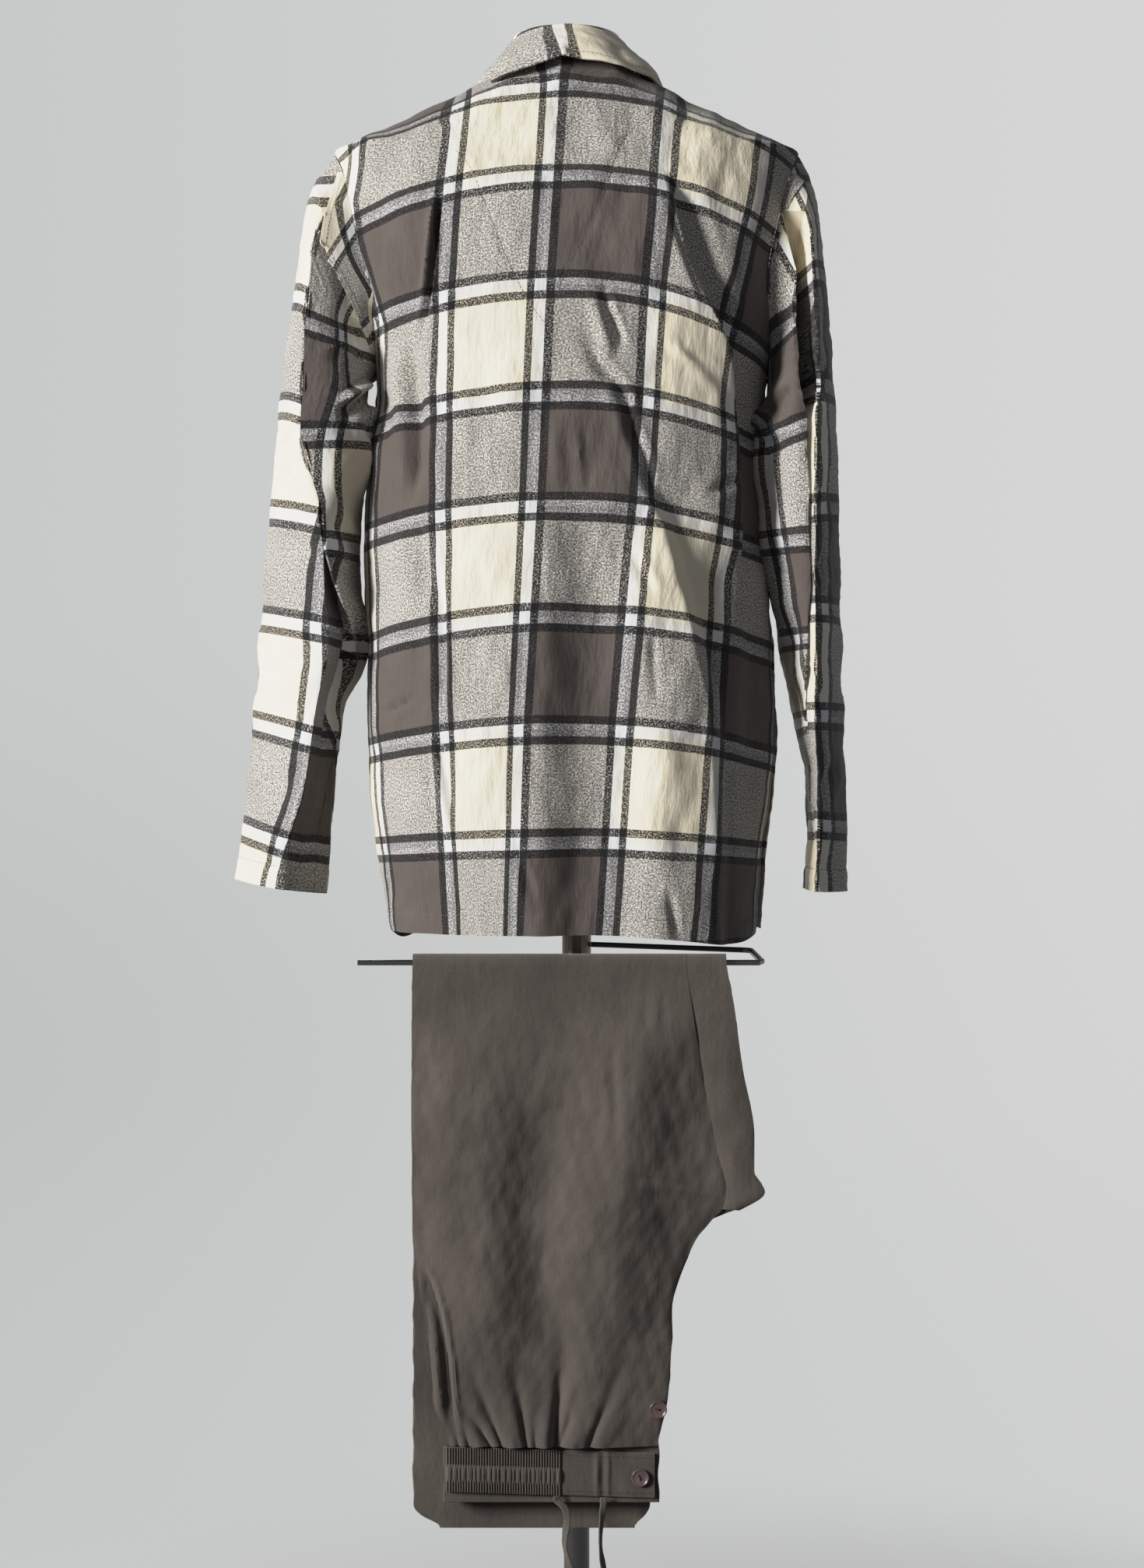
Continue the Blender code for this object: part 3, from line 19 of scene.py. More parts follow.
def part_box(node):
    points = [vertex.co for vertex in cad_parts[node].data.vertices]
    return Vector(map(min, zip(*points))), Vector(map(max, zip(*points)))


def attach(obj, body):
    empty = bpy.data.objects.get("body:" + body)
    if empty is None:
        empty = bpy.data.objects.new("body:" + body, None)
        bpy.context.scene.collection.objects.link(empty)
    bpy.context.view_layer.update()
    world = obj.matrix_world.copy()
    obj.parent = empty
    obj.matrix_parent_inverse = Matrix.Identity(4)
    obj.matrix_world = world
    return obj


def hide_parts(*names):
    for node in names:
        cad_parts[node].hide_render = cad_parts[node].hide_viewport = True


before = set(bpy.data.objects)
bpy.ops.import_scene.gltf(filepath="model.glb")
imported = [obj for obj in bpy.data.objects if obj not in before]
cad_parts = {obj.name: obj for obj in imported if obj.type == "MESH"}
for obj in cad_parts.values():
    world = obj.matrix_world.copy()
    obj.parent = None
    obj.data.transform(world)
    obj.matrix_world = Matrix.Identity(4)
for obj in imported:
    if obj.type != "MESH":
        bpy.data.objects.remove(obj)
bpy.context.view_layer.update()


def table(names, text):
    """Rows of numbers with named columns. The columns before the colon are plain numbers and those
    after it lengths in millimetres. Numbers past them are a line's places in x and z."""
    plain, lengths = (part.split() for part in names.split(":"))
    columns = plain + lengths
    kind = namedtuple("Row", columns)
    kind_with_line = namedtuple("LineRow", columns + ["line"])
    rows = []
    for row in text.strip().splitlines():
        values = [float(number) for number in row.split()]
        head = values[:len(plain)] + [round(value / 1000, 7) for value in values[len(plain):len(columns)]]
        line = np.reshape(values[len(columns):], (-1, 2)) / 1000
        rows.append(kind_with_line(*head, line) if len(line) else kind(*head))
    return rows


# ---------------------------------------------------------------- sizes shared with the solids

SEAM_GAP = 0.0003
SHIRT_CLOTH = 0.0012
COLLAR_CLOTH = 0.0018
TROUSER_CLOTH = 0.0012
SECTION_POWER = 0.84
SHOULDER_Z = 1.480
UNDERARM_Z = 1.280
ARMHOLE_BACK = 0.062
ARMHOLE_FRONT = 0.060
ARMHOLE_GAP = 0.0008
YOKE_FULLNESS = 0.004
VENT_TOP = 0.945
VENT_CURL = 0.006
NECK_X = -0.0085
NECK_HALF_WIDTH = 0.072
NECK_BACK = 0.066
NECK_FRONT = 0.080
NECK_SIDE_Z = 1.5365
NECK_BACK_RISE = 0.0155
NECK_FRONT_DROP = 0.0345
FRONT_LAP = 0.017
FRONT_HALF_WIDTH = 0.19
LAP_STEP = 0.0024
LAP_RAMP = 0.060
LAP_FLAT = 0.032
HEM_Z = 0.7865
HEM_DIP = 0.0100
HEM_DIP_AT = 0.80
HEM_DIP_WIDTH = 0.16
BUTTON_RADIUS = 0.0075
BUTTON_HEIGHT = 0.0030
BUTTON_LIFT = 0.0005
SHIRT_BUTTONS = (1.418, 1.285, 1.165, 1.045, 0.925)
FORM_REST = 0.0030          # from the cloth's outer face to the form under it
FORM_BOTTOM = 0.870
NECK_CAP_RADIUS = 0.0485
NECK_CAP_TOP = 1.5875
CAP_BASE_Z = 1.5698
RAIL_Y = -0.130
RAIL_Z = 0.7639
RAIL_HEIGHT = 0.0046
FOLD_RADIUS = 0.0041
FOLD_Z = RAIL_Z + RAIL_HEIGHT / 2 + SEAM_GAP - FOLD_RADIUS
FOLD_QUARTER = math.pi / 2 * FOLD_RADIUS     # the way from the top of the fold to each straight side
WAIST_SEAM_LEFT = 0.3556
WAIST_SEAM_RIGHT = 0.3500
WAISTBAND_HEIGHT = 0.0375
WAISTBAND_THICKNESS = 0.0030
ELASTIC_LEFT = -0.1120
ELASTIC_RIGHT = -0.0125
WAISTBAND_RIGHT = 0.0657
ELASTIC_RIBS = 45
DRAWSTRING_WIDTH = 0.006
PRESSED_ALONG = 0.012
LOOSE_ALONG = 0.112
LEG_FULLNESS = 0.0085
STRIP_FULLNESS = 0.0020
HIDDEN_TUCK = 0.0022

# The shirt's sections: where its two sides are, and how deep it is to the back and the front.
BODY = table(": z left right back front", """
    740 -163 162 128 122
    785 -166 165 130 124
    860 -179 171 134 126
    950 -187 180 135 128
    1040 -188 176 131 128
    1120 -190 170 126 129
    1200 -187 166 122 131
    1280 -179 171 122 132
    1340 -196 182 121 130
    1400 -211 193 117 122
    1440 -217 199 109 108
    1480 -217.5 199 92 88
""")
# A sleeve's rings: the outer and the inner end of each, and how deep it is to the back and the front.
LEFT_SLEEVE = table("step: outer_x outer_z inner_x inner_z back front", """
    0 -234 1459 -186 1275.5 68 64
    1 -242.5 1432 -188.2 1271.5 75 70
    2 -248.5 1395 -189.3 1266.5 80 76
    3 -254 1352 -189.8 1261.5 84 80
    4 -260.5 1308 -190.3 1256 86 83
    5 -266 1264 -190.8 1246 86 85
    6 -270.5 1216 -192.5 1216 85 85
    7 -276 1160 -195 1160 83 83
    8 -281 1100 -196.5 1100 80 81
    9 -285.5 1040 -197.5 1040 77 78
    10 -289.5 985 -209 985 73 75
    11 -294.5 930 -216.5 930 69 71
    12 -300 880 -221 876 66 68
    13 -307 831 -225 818 63 65
""")
RIGHT_SLEEVE = table("step: outer_x outer_z inner_x inner_z back front", """
    0 208.5 1464 177.5 1275.5 68 64
    1 215.5 1436 179.8 1271 75 70
    2 220.5 1398 180.8 1266 80 76
    3 225 1354 181.2 1261 84 80
    4 228.5 1310 181.5 1255 87 84
    5 231.5 1264 181 1245 88 86
    6 234.5 1216 180 1216 87 86
    7 236 1160 179 1160 85 85
    8 236.8 1100 179 1100 82 83
    9 238 1040 183 1040 79 80
    10 239.5 985 193 985 75 77
    11 241 930 205 930 71 73
    12 243 876 207.5 876 68 70
    13 243 820 205 822 66 68
""")
# The collar, by degrees from the centre back: the roll's radius and height, and the fall's edge.
COLLAR = table("angle: roll roll_z edge_x edge_y edge_z", """
    0 54.5 1585 0 -84 1550
    30 54.5 1582.5 46 -77 1543
    60 55 1577.5 78 -47 1537.5
    90 56.5 1568 90 0 1534.5
    115 62 1559 92 51 1517
    135 68 1549 79 97 1490
    150 74 1537 64 112.5 1462
    166 80 1525 50 120.5 1432
""")
ROLL_RADIUS = 0.0034
FALL_CURVE = 0.0040
# How far inside the shirt's sections the form lies.
FORM = table(": z side back front", """
    870 30 30 28
    960 28 28 28
    1080 48 36 40
    1200 34 24 26
    1300 22 17 16
    1380 20 15 15
    1430 16 12 11
    1465 10 6 6
""")
# The trousers' edges and inseam, on the near side of the rail and on the far one.
NEAR_SIDE = table(": z left seam right", """
    771 -139.7 93 126.9
    727 -140 97.7 133.5
    676 -140 105.5 140.1
    618 -139.7 116.5 150
    588 -139.7 123 150
    570.5 -139.6 126.2 159
    556 -139.4 123 137.3
    548 -139.2 115.2 115.6
    528.9 -138.5 100.2 100.6
    481.8 -132 81.3 81.7
    448.8 -127 80.3 80.7
    397 -121.5 76.6 77
    356 -113 69 69.5
    310 -113 69 69.5
""")
FAR_SIDE = table(": z left seam right", """
    771 -139.7 93 126.9
    650 -140 80 108
    500 -140 64 85
    350 -140 54 68
    300 -139.2 51 62
    291.5 -133 50 58
    281.5 -118 47 50
""")
INNER_WAIST_Z = 0.3085
HEM_FAR_Z = 0.2815
LEG_WAIST_Z = 0.3565
STRIP_END_Z = 0.5560
# How thick the hidden layers are, by the way down from the top of the fold.
NEAR_THICKNESS = table(": along thickness", """
    0 2.4
    12 2.8
    80 7.5
    250 10.5
    420 12
    600 11
""")
FAR_THICKNESS = table(": along thickness", """
    0 2.4
    12 2.8
    80 6.5
    250 8.5
    600 8.5
""")
TROUSER_BUTTONS = (("button_fly", 80), ("button_waistband", 20))     # and their turn in degrees
# The routes of the drawstring's two free ends.
DRAWSTRING_LEFT = table(": x y z", """
    -17.2 -152 314.6
    -16.8 -152.1 311
    -10.5 -153 305
    -8.2 -154.5 296
    -9.8 -155.2 285
    -10.4 -155 274
    -8.2 -154.5 263
    -5.5 -154 252
    -4.8 -153.5 240
    -6.4 -153 228
    -9 -152.8 215
    -10.4 -152.7 202
    -10 -152.6 190
    -8.8 -152.6 178
    -7.6 -152.6 168
""")
DRAWSTRING_RIGHT = table(": x y z", """
    22.5 -151.8 313.4
    22.2 -151.9 308
    21.4 -153 300
    20.4 -154 290
    19.8 -154.6 279
    20.3 -154.7 268
    22 -154.5 257
    23.8 -154 245
    24.6 -153.6 233
    24 -153.3 221
    22.6 -153.1 209
    21.6 -153 197
    22 -153 186
""")

# ---------------------------------------------------------------- camera and studio sizes

CAMERA_X = -0.0042
CAMERA_Z = 0.9161
CAMERA_DISTANCE = 2.5
FRAME_HEIGHT = 1.4098       # what the frame takes in at the pole
SENSOR = 36.0

# ---------------------------------------------------------------- the check

PITCH = 0.0955              # from one stripe group to the next, both ways
WHITE_HALF = 0.0052         # half the white stripe in a group's middle
GROUP_HALF = 0.0125         # half the whole group, black stripes included

# Where the lengthways groups run on the back: a group's number, and its line in x and z.
BACK_LINES = table("number:", """
    -2  -190 1523.4  -195.4 1461  -200 1425  -196.6 1398.7  -191.2 1380  -183 1354  -176.3 1336 \
        -170 1315.8  -172.8 1249  -180.2 1153.6  -179.3 1058.8  -177.7 962.5  -169.6 865.8  -161.5 785
    -1  -100.9 1523.4  -109 1440  -115 1344.1  -116.4 1249  -117.4 1153.6  -116.1 1058.8  -113.2 962.5 \
        -110.5 865.8  -105.2 785
    0  -21.1 1523.4  -25.7 1440  -31.6 1344.1  -35.5 1249  -39.5 1153.6  -44.7 1058.8  -49.9 962.5 \
        -52.6 865.8  -55.9 785
    1  82.3 1523.4  75.1 1440  66.7 1344.1  62.4 1249  55.7 1153.6  46.9 1058.8  38.9 962.5  32.9 865.8 \
        26.9 785
    2  172 1523.4  161 1440  138 1344.1  127.8 1249  129.8 1153.6  124.9 1058.8  118.7 962.5 \
        111.2 865.8  105.1 785
""")

# Where the crossways groups run on the shirt's body: their height in the middle, and how far they
# hang lower at the left and the right side.
BODY_ROWS = table("number: z drop_left drop_right", """
    -2 1615 50 50
    -1 1523.4 48 58
    0 1440 41 59
    1 1344.1 26 56
    2 1249 23 37
    3 1153.6 20 33
    4 1058.8 24 29
    5 962.5 18 26
    6 865.8 8 12
    7 770.3 0 0
""")

# A sleeve seen from the back, by the height of its pressed crease: the crease, the valley beside it
# and the edge of the inner flap, each as a share of the way from the outer edge to the inner one, with
# the depths of the last two as a share of the crease's own, and the check coordinate at each place. The
# cloth is doubled at the crease, so the coordinate starts afresh behind it.
LOOK = "crease valley flap valley_depth flap_depth c_outer c_crease c_second c_valley c_flap c_inner: z"
LEFT_LOOK = table(LOOK, """
    0.25 0.256 0.262 0.99 1 -0.6 -0.16 0.1 0.1 0.1 1 1470
    0.248 0.254 0.26 0.99 1 -0.6 -0.16 0.25 0.25 0.25 1.1 1393.4
    0.27 0.276 0.282 0.98 1 -0.62 -0.15 0.36 0.36 0.36 1.22 1353.4
    0.285 0.291 0.297 0.97 1 -0.66 -0.15 0.49 0.49 0.49 1.28 1314.1
    0.318 0.324 0.33 0.97 1 -0.7 -0.15 0.55 0.55 0.55 1.3 1291.7
    0.341 0.347 0.353 0.97 1 -0.72 -0.15 0.63 0.63 0.63 1.33 1259.8
    0.368 0.374 0.38 0.97 1 -0.76 -0.15 0.73 0.73 0.73 1.38 1219.2
    0.536 0.542 0.548 0.95 1 -0.84 -0.14 0.87 0.87 0.87 1.45 1178.5
    0.625 0.633 0.641 0.93 1 -0.86 -0.13 0.2 0.24 0.9 1.45 1160
    0.68 0.69 0.7 0.88 1 -0.86 -0.03 0.1 0.2 0.94 1.42 1124.2
    0.715 0.78 0.845 0.72 0.97 -0.86 0.06 0.1 0.26 1.16 1.6 1083.6
    0.735 0.845 0.935 0.6 0.66 -0.86 0.12 0.13 0.36 1.3 1.5 1050
    0.75 0.83 0.965 0.5 0.4 -0.85 0.1 0.12 0.76 1.1 1.25 1025
    0.77 0.84 0.975 0.6 0.34 -0.85 0.05 0.07 0.78 1.1 1.25 988.6
    0.76 0.85 0.96 0.62 0.32 -0.84 0.05 0.07 0.6 0.8 1 940
    0.745 0.85 0.93 0.62 0.32 -0.84 0.05 0.07 0.4 0.6 0.9 920.8
    0.65 0.76 0.89 0.66 0.36 -0.8 0.06 0.08 0.28 0.45 0.8 880.2
    0.6 0.74 0.88 0.74 0.46 -0.7 0.13 0.15 0.3 0.45 0.75 830
""")
RIGHT_LOOK = table(LOOK, """
    0.25 0.46 0.5 0.45 1 0.5 -0.1 -0.13 -0.8 0.98 0.3 1470
    0.25 0.46 0.5 0.45 1 0.5 -0.1 -0.13 -0.82 0.96 0.24 1417
    0.262 0.56 0.6 0.45 1 0.5 -0.1 -0.13 -0.82 0.94 0.22 1393
    0.296 0.59 0.625 0.45 1 0.5 -0.1 -0.13 -0.8 0.92 0.2 1364.3
    0.316 0.6 0.636 0.45 1 0.5 -0.1 -0.11 -0.165 0.88 0.18 1333.1
    0.32 0.585 0.62 0.45 1 0.5 -0.1 -0.11 -0.165 0.86 0.16 1315.4
    0.324 0.575 0.61 0.45 1 0.5 -0.1 -0.11 -0.165 0.84 0.14 1304.6
    0.334 0.555 0.59 0.45 1 0.5 -0.1 -0.11 -0.165 0.76 0.1 1283.6
    0.336 0.515 0.545 0.55 1 0.52 0.06 -0.11 -0.165 0.66 0.02 1261.2
    0.355 0.51 0.535 0.75 1 0.53 -0.1 -0.13 -0.32 0.55 -0.1 1246.3
    0.39 0.505 0.522 0.92 1 0.54 -0.13 -0.14 -0.26 0.47 -0.22 1234
    0.45 0.515 0.533 0.95 0.99 0.54 -0.13 -0.14 -0.24 0.43 -0.3 1167
    0.46 0.53 0.549 0.95 0.98 0.55 -0.13 -0.14 -0.24 0.33 -0.4 1121.5
    0.485 0.525 0.542 0.95 0.98 0.55 -0.13 -0.14 -0.24 0.3 -0.46 1093.1
    0.51 0.607 0.625 0.94 0.97 0.55 -0.13 -0.14 -0.26 0.22 -0.48 1060
    0.56 0.665 0.683 0.93 0.96 0.55 -0.13 -0.14 -0.28 0.16 -0.5 1029.3
    0.677 0.827 0.847 0.9 0.92 0.56 -0.13 -0.14 -0.32 0 -0.5 987.3
    0.86 0.96 0.985 0.86 0.78 0.57 -0.13 -0.14 -0.34 -0.4 -0.7 931.7
    0.9 0.97 0.99 0.88 0.78 0.6 -0.1 -0.11 -0.3 -0.4 -0.8 865.9
    0.9 0.97 0.99 0.88 0.78 0.62 -0.08 -0.09 -0.3 -0.4 -0.8 815
""")

# How far a sleeve's cloth leans in towards the body past its solid, by height, and how far more its
# back rolls in against the body's side. The lower the power, the fuller the inner flap.
LEFT_LEAN = table("power: z lean roll", """
    0.55 1290 0 0
    0.55 1262 1 5
    0.55 1246 3.6 9.5
    0.55 1216 3.4 11
    0.65 1180 3 7
    1.1 1150 1.2 2
    1.45 1090 1.8 3
    1.45 1050 5 9
    1.45 1025 5 7
    1.45 985 0 1
""")
RIGHT_LEAN = table("power: z lean roll", """
    1.1 1290 0 0
    1 1268 7.5 8
    0.9 1245 15 12
    0.9 1216 11.5 13
    0.9 1160 7.5 12
    0.95 1110 4.8 11
    1.05 1085 3 8
    1.45 1050 1 1
    1.45 985 0 0
""")
ROLL_AT = 66                # degrees from the crease to the roll's fullest place
ROLL_SPREAD = 17

# Where the crossways groups run on the sleeves, as heights at the four places.
LEFT_ROWS = table("number: outer crease flap inner", """
    -2 1543 1526.4 1508 1481
    -1 1447.4 1430.8 1412.5 1390
    0 1351.5 1336.2 1317 1299.2
    1 1254.2 1240.6 1219 1221.8
    2 1159.7 1144.6 1124.9 1124.9
    3 1064.5 1049.9 1037.8 1037.8
    4 970.7 954.6 952 951
    5 876.2 862 859 856
    6 780.7 766.5 763.5 760.5
""")
RIGHT_ROWS = table("number: outer crease flap inner", """
    -2 1561 1551 1511 1486
    -1 1465.5 1455.5 1445 1425
    0 1369.7 1360 1320.3 1302.5
    1 1267.5 1262 1228.4 1216.9
    2 1161.1 1154.7 1128.3 1128.3
    3 1070.1 1068.9 1042.6 1042.6
    4 975.6 975.6 972 970
    5 876.9 880.3 879 877
    6 781.4 784.8 783.5 781.5
""")

# ---------------------------------------------------------------- creases

# A crease runs along a line of places. Depth is inward, so a ridge has a negative one. Its sides rise
# a little to shoulders, and it is steeper on one side by its skew.
Crease = namedtuple("Crease", "skew width depth line")
BACK_CREASES = table("skew: width depth", """
    0.2 2.4 9.5  -116 1440  -121.5 1390  -126.2 1350  -133.5 1305
    -0.2 6 7.5  -150 1315  -141.9 1258.3  -138.5 1217.8  -141.2 1150
    0 6 -4  -160 1305  -154.7 1244.8  -154.7 1170
    0.2 3 3.5  -198.6 1400.1  -188.5 1366.3  -177.7 1329.2  -172.3 1300
    -0.2 4.2 3  77 1430  85.6 1390  96.4 1359.6  112 1320
    0.3 12 -3  138.2 1163.8  139 1042.3  140 954.6  137.6 770
    0.3 4.5 5  21 1348  27.5 1322.5  34.3 1304.2  43 1287
    0.3 4.6 5.8  9 1306  18.1 1277.2  36.3 1259.7  43.7 1244.8  49.8 1217.8  61.3 1190.8  66 1150
    0 6 -3.5  16.1 1330  22.8 1298.8  31.6 1275
    0.2 4 -2.2  -0.5 1225  4.6 1160
    -0.2 4.5 -1.8  -19.7 1240  -16.3 1160
    0.45 30 6  5 1130  22.8 1020  36.3 954.6  38.3 887  32.9 740
    0.3 4 5  -116.3 1110  -114.9 1022.1  -114.2 960
    0.2 3.8 -3.2  -125 970  -118.3 920.8  -108 870
    0 3 2.8  -173 975.2  -139.2 991
    0.2 8 3.4  -141.2 1160  -132.5 1109.8  -122.3 1060
    0.2 4 3.4  48 1118  66 1076
    0 3.8 2.2  156 1193  104 1162
    0 4 -1.8  74.8 1300.2  126.8 1246.2
    0.2 3.6 2.6  64 1050  68 980
    0.2 3.4 2.4  76.8 830  86.2 782
    0.2 4 2.6  -52 865  -34.6 815
    0 12 2.4  -86 1340  -80 1250  -84 1170
""")
# Where the back's cloth rises to a line over a span, drops inward to the right of it, and comes back
# out within a reach.
BACK_LEDGES = table(": rise span width depth reach", """
    8 70 7 8 35  72 1450  78.5 1425  93.2 1371  110 1331  126.8 1297  133.6 1243  135.6 1190  140.3 1136 \
        138.9 1090
    6 70 20 6 90  39.5 1196  69.7 1136  93.2 1055  110 988  116.8 854  116.8 740
    3 60 40 9 110  -24.4 1163  -27.7 1082  -34.4 988  -34.4 740
""")
FRONT_CREASES = table("skew: width depth", """
    0.3 9 7  -118 1405  -130 1350  -140 1290
    0 12 7  -105 1300  -96 1210  -90 1120
    0.2 14 6  -70 1120  -80 1000  -85 860
    -0.3 9 7  104 1400  118 1350  132 1290
    0 12 7  95 1290  86 1200  78 1100
    0 14 6  110 1080  104 960  100 850
    0 10 4  -140 1080  -136 980  -140 860
    0 10 3.5  40 1240  52 1150  50 1040
    0 9 3  -48 1360  -60 1300  -58 1220
""")


# ---------------------------------------------------------------- numbers

def smooth_step(value):
    held = np.clip(value, 0.0, 1.0)
    return held * held * (3.0 - 2.0 * held)


def signed_power(value, power):
    return np.sign(value) * np.abs(value) ** power


def bell(off, width):
    return np.exp(-(off / width) ** 2)


def unit(vectors):
    return vectors / np.maximum(np.linalg.norm(vectors, axis=-1, keepdims=True), 1e-12)


def way_along(points, axis=0):
    """The length of the way from the first place to each one."""
    steps = np.linalg.norm(np.diff(points, axis=axis), axis=-1)
    return np.concatenate([np.zeros_like(steps.take([0], axis)), np.cumsum(steps, axis)], axis)


def read_curve(table, key, name, at):
    """A column of a table at values of its key column, on a smooth curve through the rows."""
    pairs = sorted((getattr(row, key), getattr(row, name)) for row in table)
    keys, values = np.array(pairs).T
    rise = np.diff(values)
    slopes = np.zeros(len(keys))
    turns = rise[:-1] * rise[1:] > 0
    slopes[1:-1] = np.where(turns, (values[2:] - values[:-2]) / (keys[2:] - keys[:-2]), 0.0)
    at = np.clip(at, keys[0], keys[-1])
    index = np.clip(np.searchsorted(keys, at, side="right") - 1, 0, len(keys) - 2)
    span = keys[index + 1] - keys[index]
    t = (at - keys[index]) / span
    return (
        values[index] * (2 * t ** 3 - 3 * t ** 2 + 1)
        + slopes[index] * span * (t ** 3 - 2 * t ** 2 + t)
        + values[index + 1] * (3 * t ** 2 - 2 * t ** 3)
        + slopes[index + 1] * span * (t ** 3 - t ** 2)
    )


def read_row(table, key, at):
    """A row between a table's own, at a value of its key column."""
    kind = type(table[0])
    return kind(*(float(read_curve(table, key, name, at)) for name in kind._fields))


CREASE_FADE = 0.3           # the share of a crease's length over which each end dies away
SIDE_CHANGE = 0.002         # over this way across its line a crease's skew changes over
SHOULDER_RISE = 0.30        # of a crease's depth
SHOULDER_AT = 2.1           # in widths of the crease from its line
SHOULDER_SPREAD = 0.9
LEDGE_FADE = 0.04
LEDGE_RETURN = 0.6          # the share of a ledge's reach over which it comes back out
WAVE_SPREAD = (0.6, 1.6)    # the shortest and the longest wave of a ripple, as shares of its own


def relief(creases, x, z):
    """How far the cloth lies inward at places of a panel."""
    total = np.zeros(np.broadcast(x, z).shape)
    for crease in creases:
        steps = np.diff(crease.line, axis=0)
        lengths = np.hypot(steps[:, 0], steps[:, 1])
        nearest = np.full(total.shape, 1e9)
        along = np.zeros(total.shape)
        side = np.zeros(total.shape)
        done = 0.0
        for (x0, z0), (dx, dz), length in zip(crease.line, steps, lengths):
            share = np.clip(((x - x0) * dx + (z - z0) * dz) / length ** 2, 0.0, 1.0)
            off_x = x - x0 - dx * share
            off_z = z - z0 - dz * share
            distance = np.hypot(off_x, off_z)
            closer = distance < nearest
            nearest = np.where(closer, distance, nearest)
            along = np.where(closer, (done + share * length) / lengths.sum(), along)
            side = np.where(closer, np.tanh((off_x * dz - off_z * dx) / length / SIDE_CHANGE), side)
            done += length
        reach = nearest / (crease.width * (1 + crease.skew * side))
        shape = bell(reach, 1) - SHOULDER_RISE * bell(reach - SHOULDER_AT, SHOULDER_SPREAD)
        ends = smooth_step(along / CREASE_FADE) * smooth_step((1 - along) / CREASE_FADE)
        total += crease.depth * ends * shape
    return total


def ledge_relief(ledges, x, z):
    total = np.zeros(np.broadcast(x, z).shape)
    for ledge in ledges:
        line_x, line_z = ledge.line[::-1].T
        off = x - np.interp(z, line_z, line_x)
        ends = smooth_step((z - line_z[0]) / LEDGE_FADE) * smooth_step((line_z[-1] - z) / LEDGE_FADE)
        past = smooth_step(off / ledge.width)
        raised = np.clip(1 + off / ledge.span, 0.0, 1.0) * (1 - past)
        dropped = past * smooth_step((ledge.reach - off) / (LEDGE_RETURN * ledge.reach))
        total += ends * (ledge.depth * dropped - ledge.rise * raised)
    return total


def ripple(x, z, wavelength, seed, count=9):
    """A soft, uneven surface between about -1 and 1."""
    numbers = np.random.default_rng(seed)
    total = np.zeros(np.broadcast(x, z).shape)
    for _ in range(count):
        angle = numbers.uniform(0, 2 * np.pi)
        wave = 2 * np.pi / (wavelength * numbers.uniform(*WAVE_SPREAD))
        phase = numbers.uniform(0, 2 * np.pi)
        total += np.sin((x * np.cos(angle) + z * np.sin(angle)) * wave + phase)
    return total / math.sqrt(count)


# The depth and the wavelength of a cloth's broad and fine unevenness.
BODY_WAVES = ((0.0009, 0.055), (0.0003, 0.016))
SLEEVE_WAVES = ((0.0008, 0.045), (0.0003, 0.014))
COLLAR_WAVES = ((0.0011, 0.035), (0.0004, 0.012))
LEG_WAVES = ((0.0007, 0.050), (0.0003, 0.016))


def unevenness(x, z, waves, seed):
    (broad, broad_wave), (fine, fine_wave) = waves
    return broad * ripple(x, z, broad_wave, seed) + fine * ripple(x, z, fine_wave, seed + 1)


# ---------------------------------------------------------------- meshes

def grid_normals(grid, wrap=False):
    """Outward normals of a grid that is listed as it is seen from outside, rows from top to bottom
    and columns from left to right."""
    if wrap:
        across = np.roll(grid, -1, axis=1) - np.roll(grid, 1, axis=1)
    else:
        across = np.gradient(grid, axis=1)
    return unit(np.cross(np.gradient(grid, axis=0), across))


def make_mesh(name, points, faces, corners_uv=None, sharp_angle=40):
    mesh = bpy.data.meshes.new(name)
    mesh.from_pydata([tuple(map(float, p)) for p in points], [], [tuple(map(int, f)) for f in faces])
    if corners_uv is not None:
        layer = mesh.uv_layers.new(name="cloth")
        layer.data.foreach_set("uv", np.asarray(corners_uv, dtype=np.float32).ravel())
    mesh.shade_smooth()
    mesh.set_sharp_from_angle(angle=math.radians(sharp_angle))
    made = bpy.data.objects.new(name, mesh)
    bpy.context.scene.collection.objects.link(made)
    return made


def shell(name, outer, thickness, uv, wrap=False, uv_after=None):
    """A thin closed wall under a grid. uv holds each place's check coordinates, and uv_after the ones
    that the faces on its left use, where the check breaks off."""
    rows, columns = outer.shape[:2]
    inner = outer - grid_normals(outer, wrap) * thickness
    points = np.concatenate([outer.reshape(-1, 3), inner.reshape(-1, 3)])
    half = rows * columns
    r = np.arange(rows - 1)[:, None] * columns
    c = np.arange(columns if wrap else columns - 1)
    after = (c + 1) % columns
    low = r + columns
    corners = np.stack([r + c, low + c, low + after, r + after], -1)
    end_uv = uv if uv_after is None else uv_after
    corner_uv = np.stack([uv[:-1, c], uv[1:, c], end_uv[1:, after], end_uv[:-1, after]], 2)
    faces = [corners.reshape(-1, 4), corners[..., ::-1].reshape(-1, 4) + half]
    uvs = [corner_uv.reshape(-1, 4, 2), corner_uv[:, :, ::-1].reshape(-1, 4, 2)]

    def add_rim(near, far, near_uv, far_uv, flip):
        turn = slice(None, None, -1 if flip else 1)
        faces.append(np.stack([near, far, far + half, near + half], -1)[:, turn])
        uvs.append(np.stack([near_uv, far_uv, far_uv, near_uv], 1)[:, turn])

    for row in (0, rows - 1):
        add_rim(row * columns + c, row * columns + after, uv[row, c], end_uv[row, after], row > 0)
    if not wrap:
        for column in (0, columns - 1):
            near = r[:, 0] + column
            add_rim(near, near + columns, uv[:-1, column], uv[1:, column], column == 0)
    return make_mesh(name, points, np.concatenate(faces), np.concatenate(uvs).reshape(-1, 2))


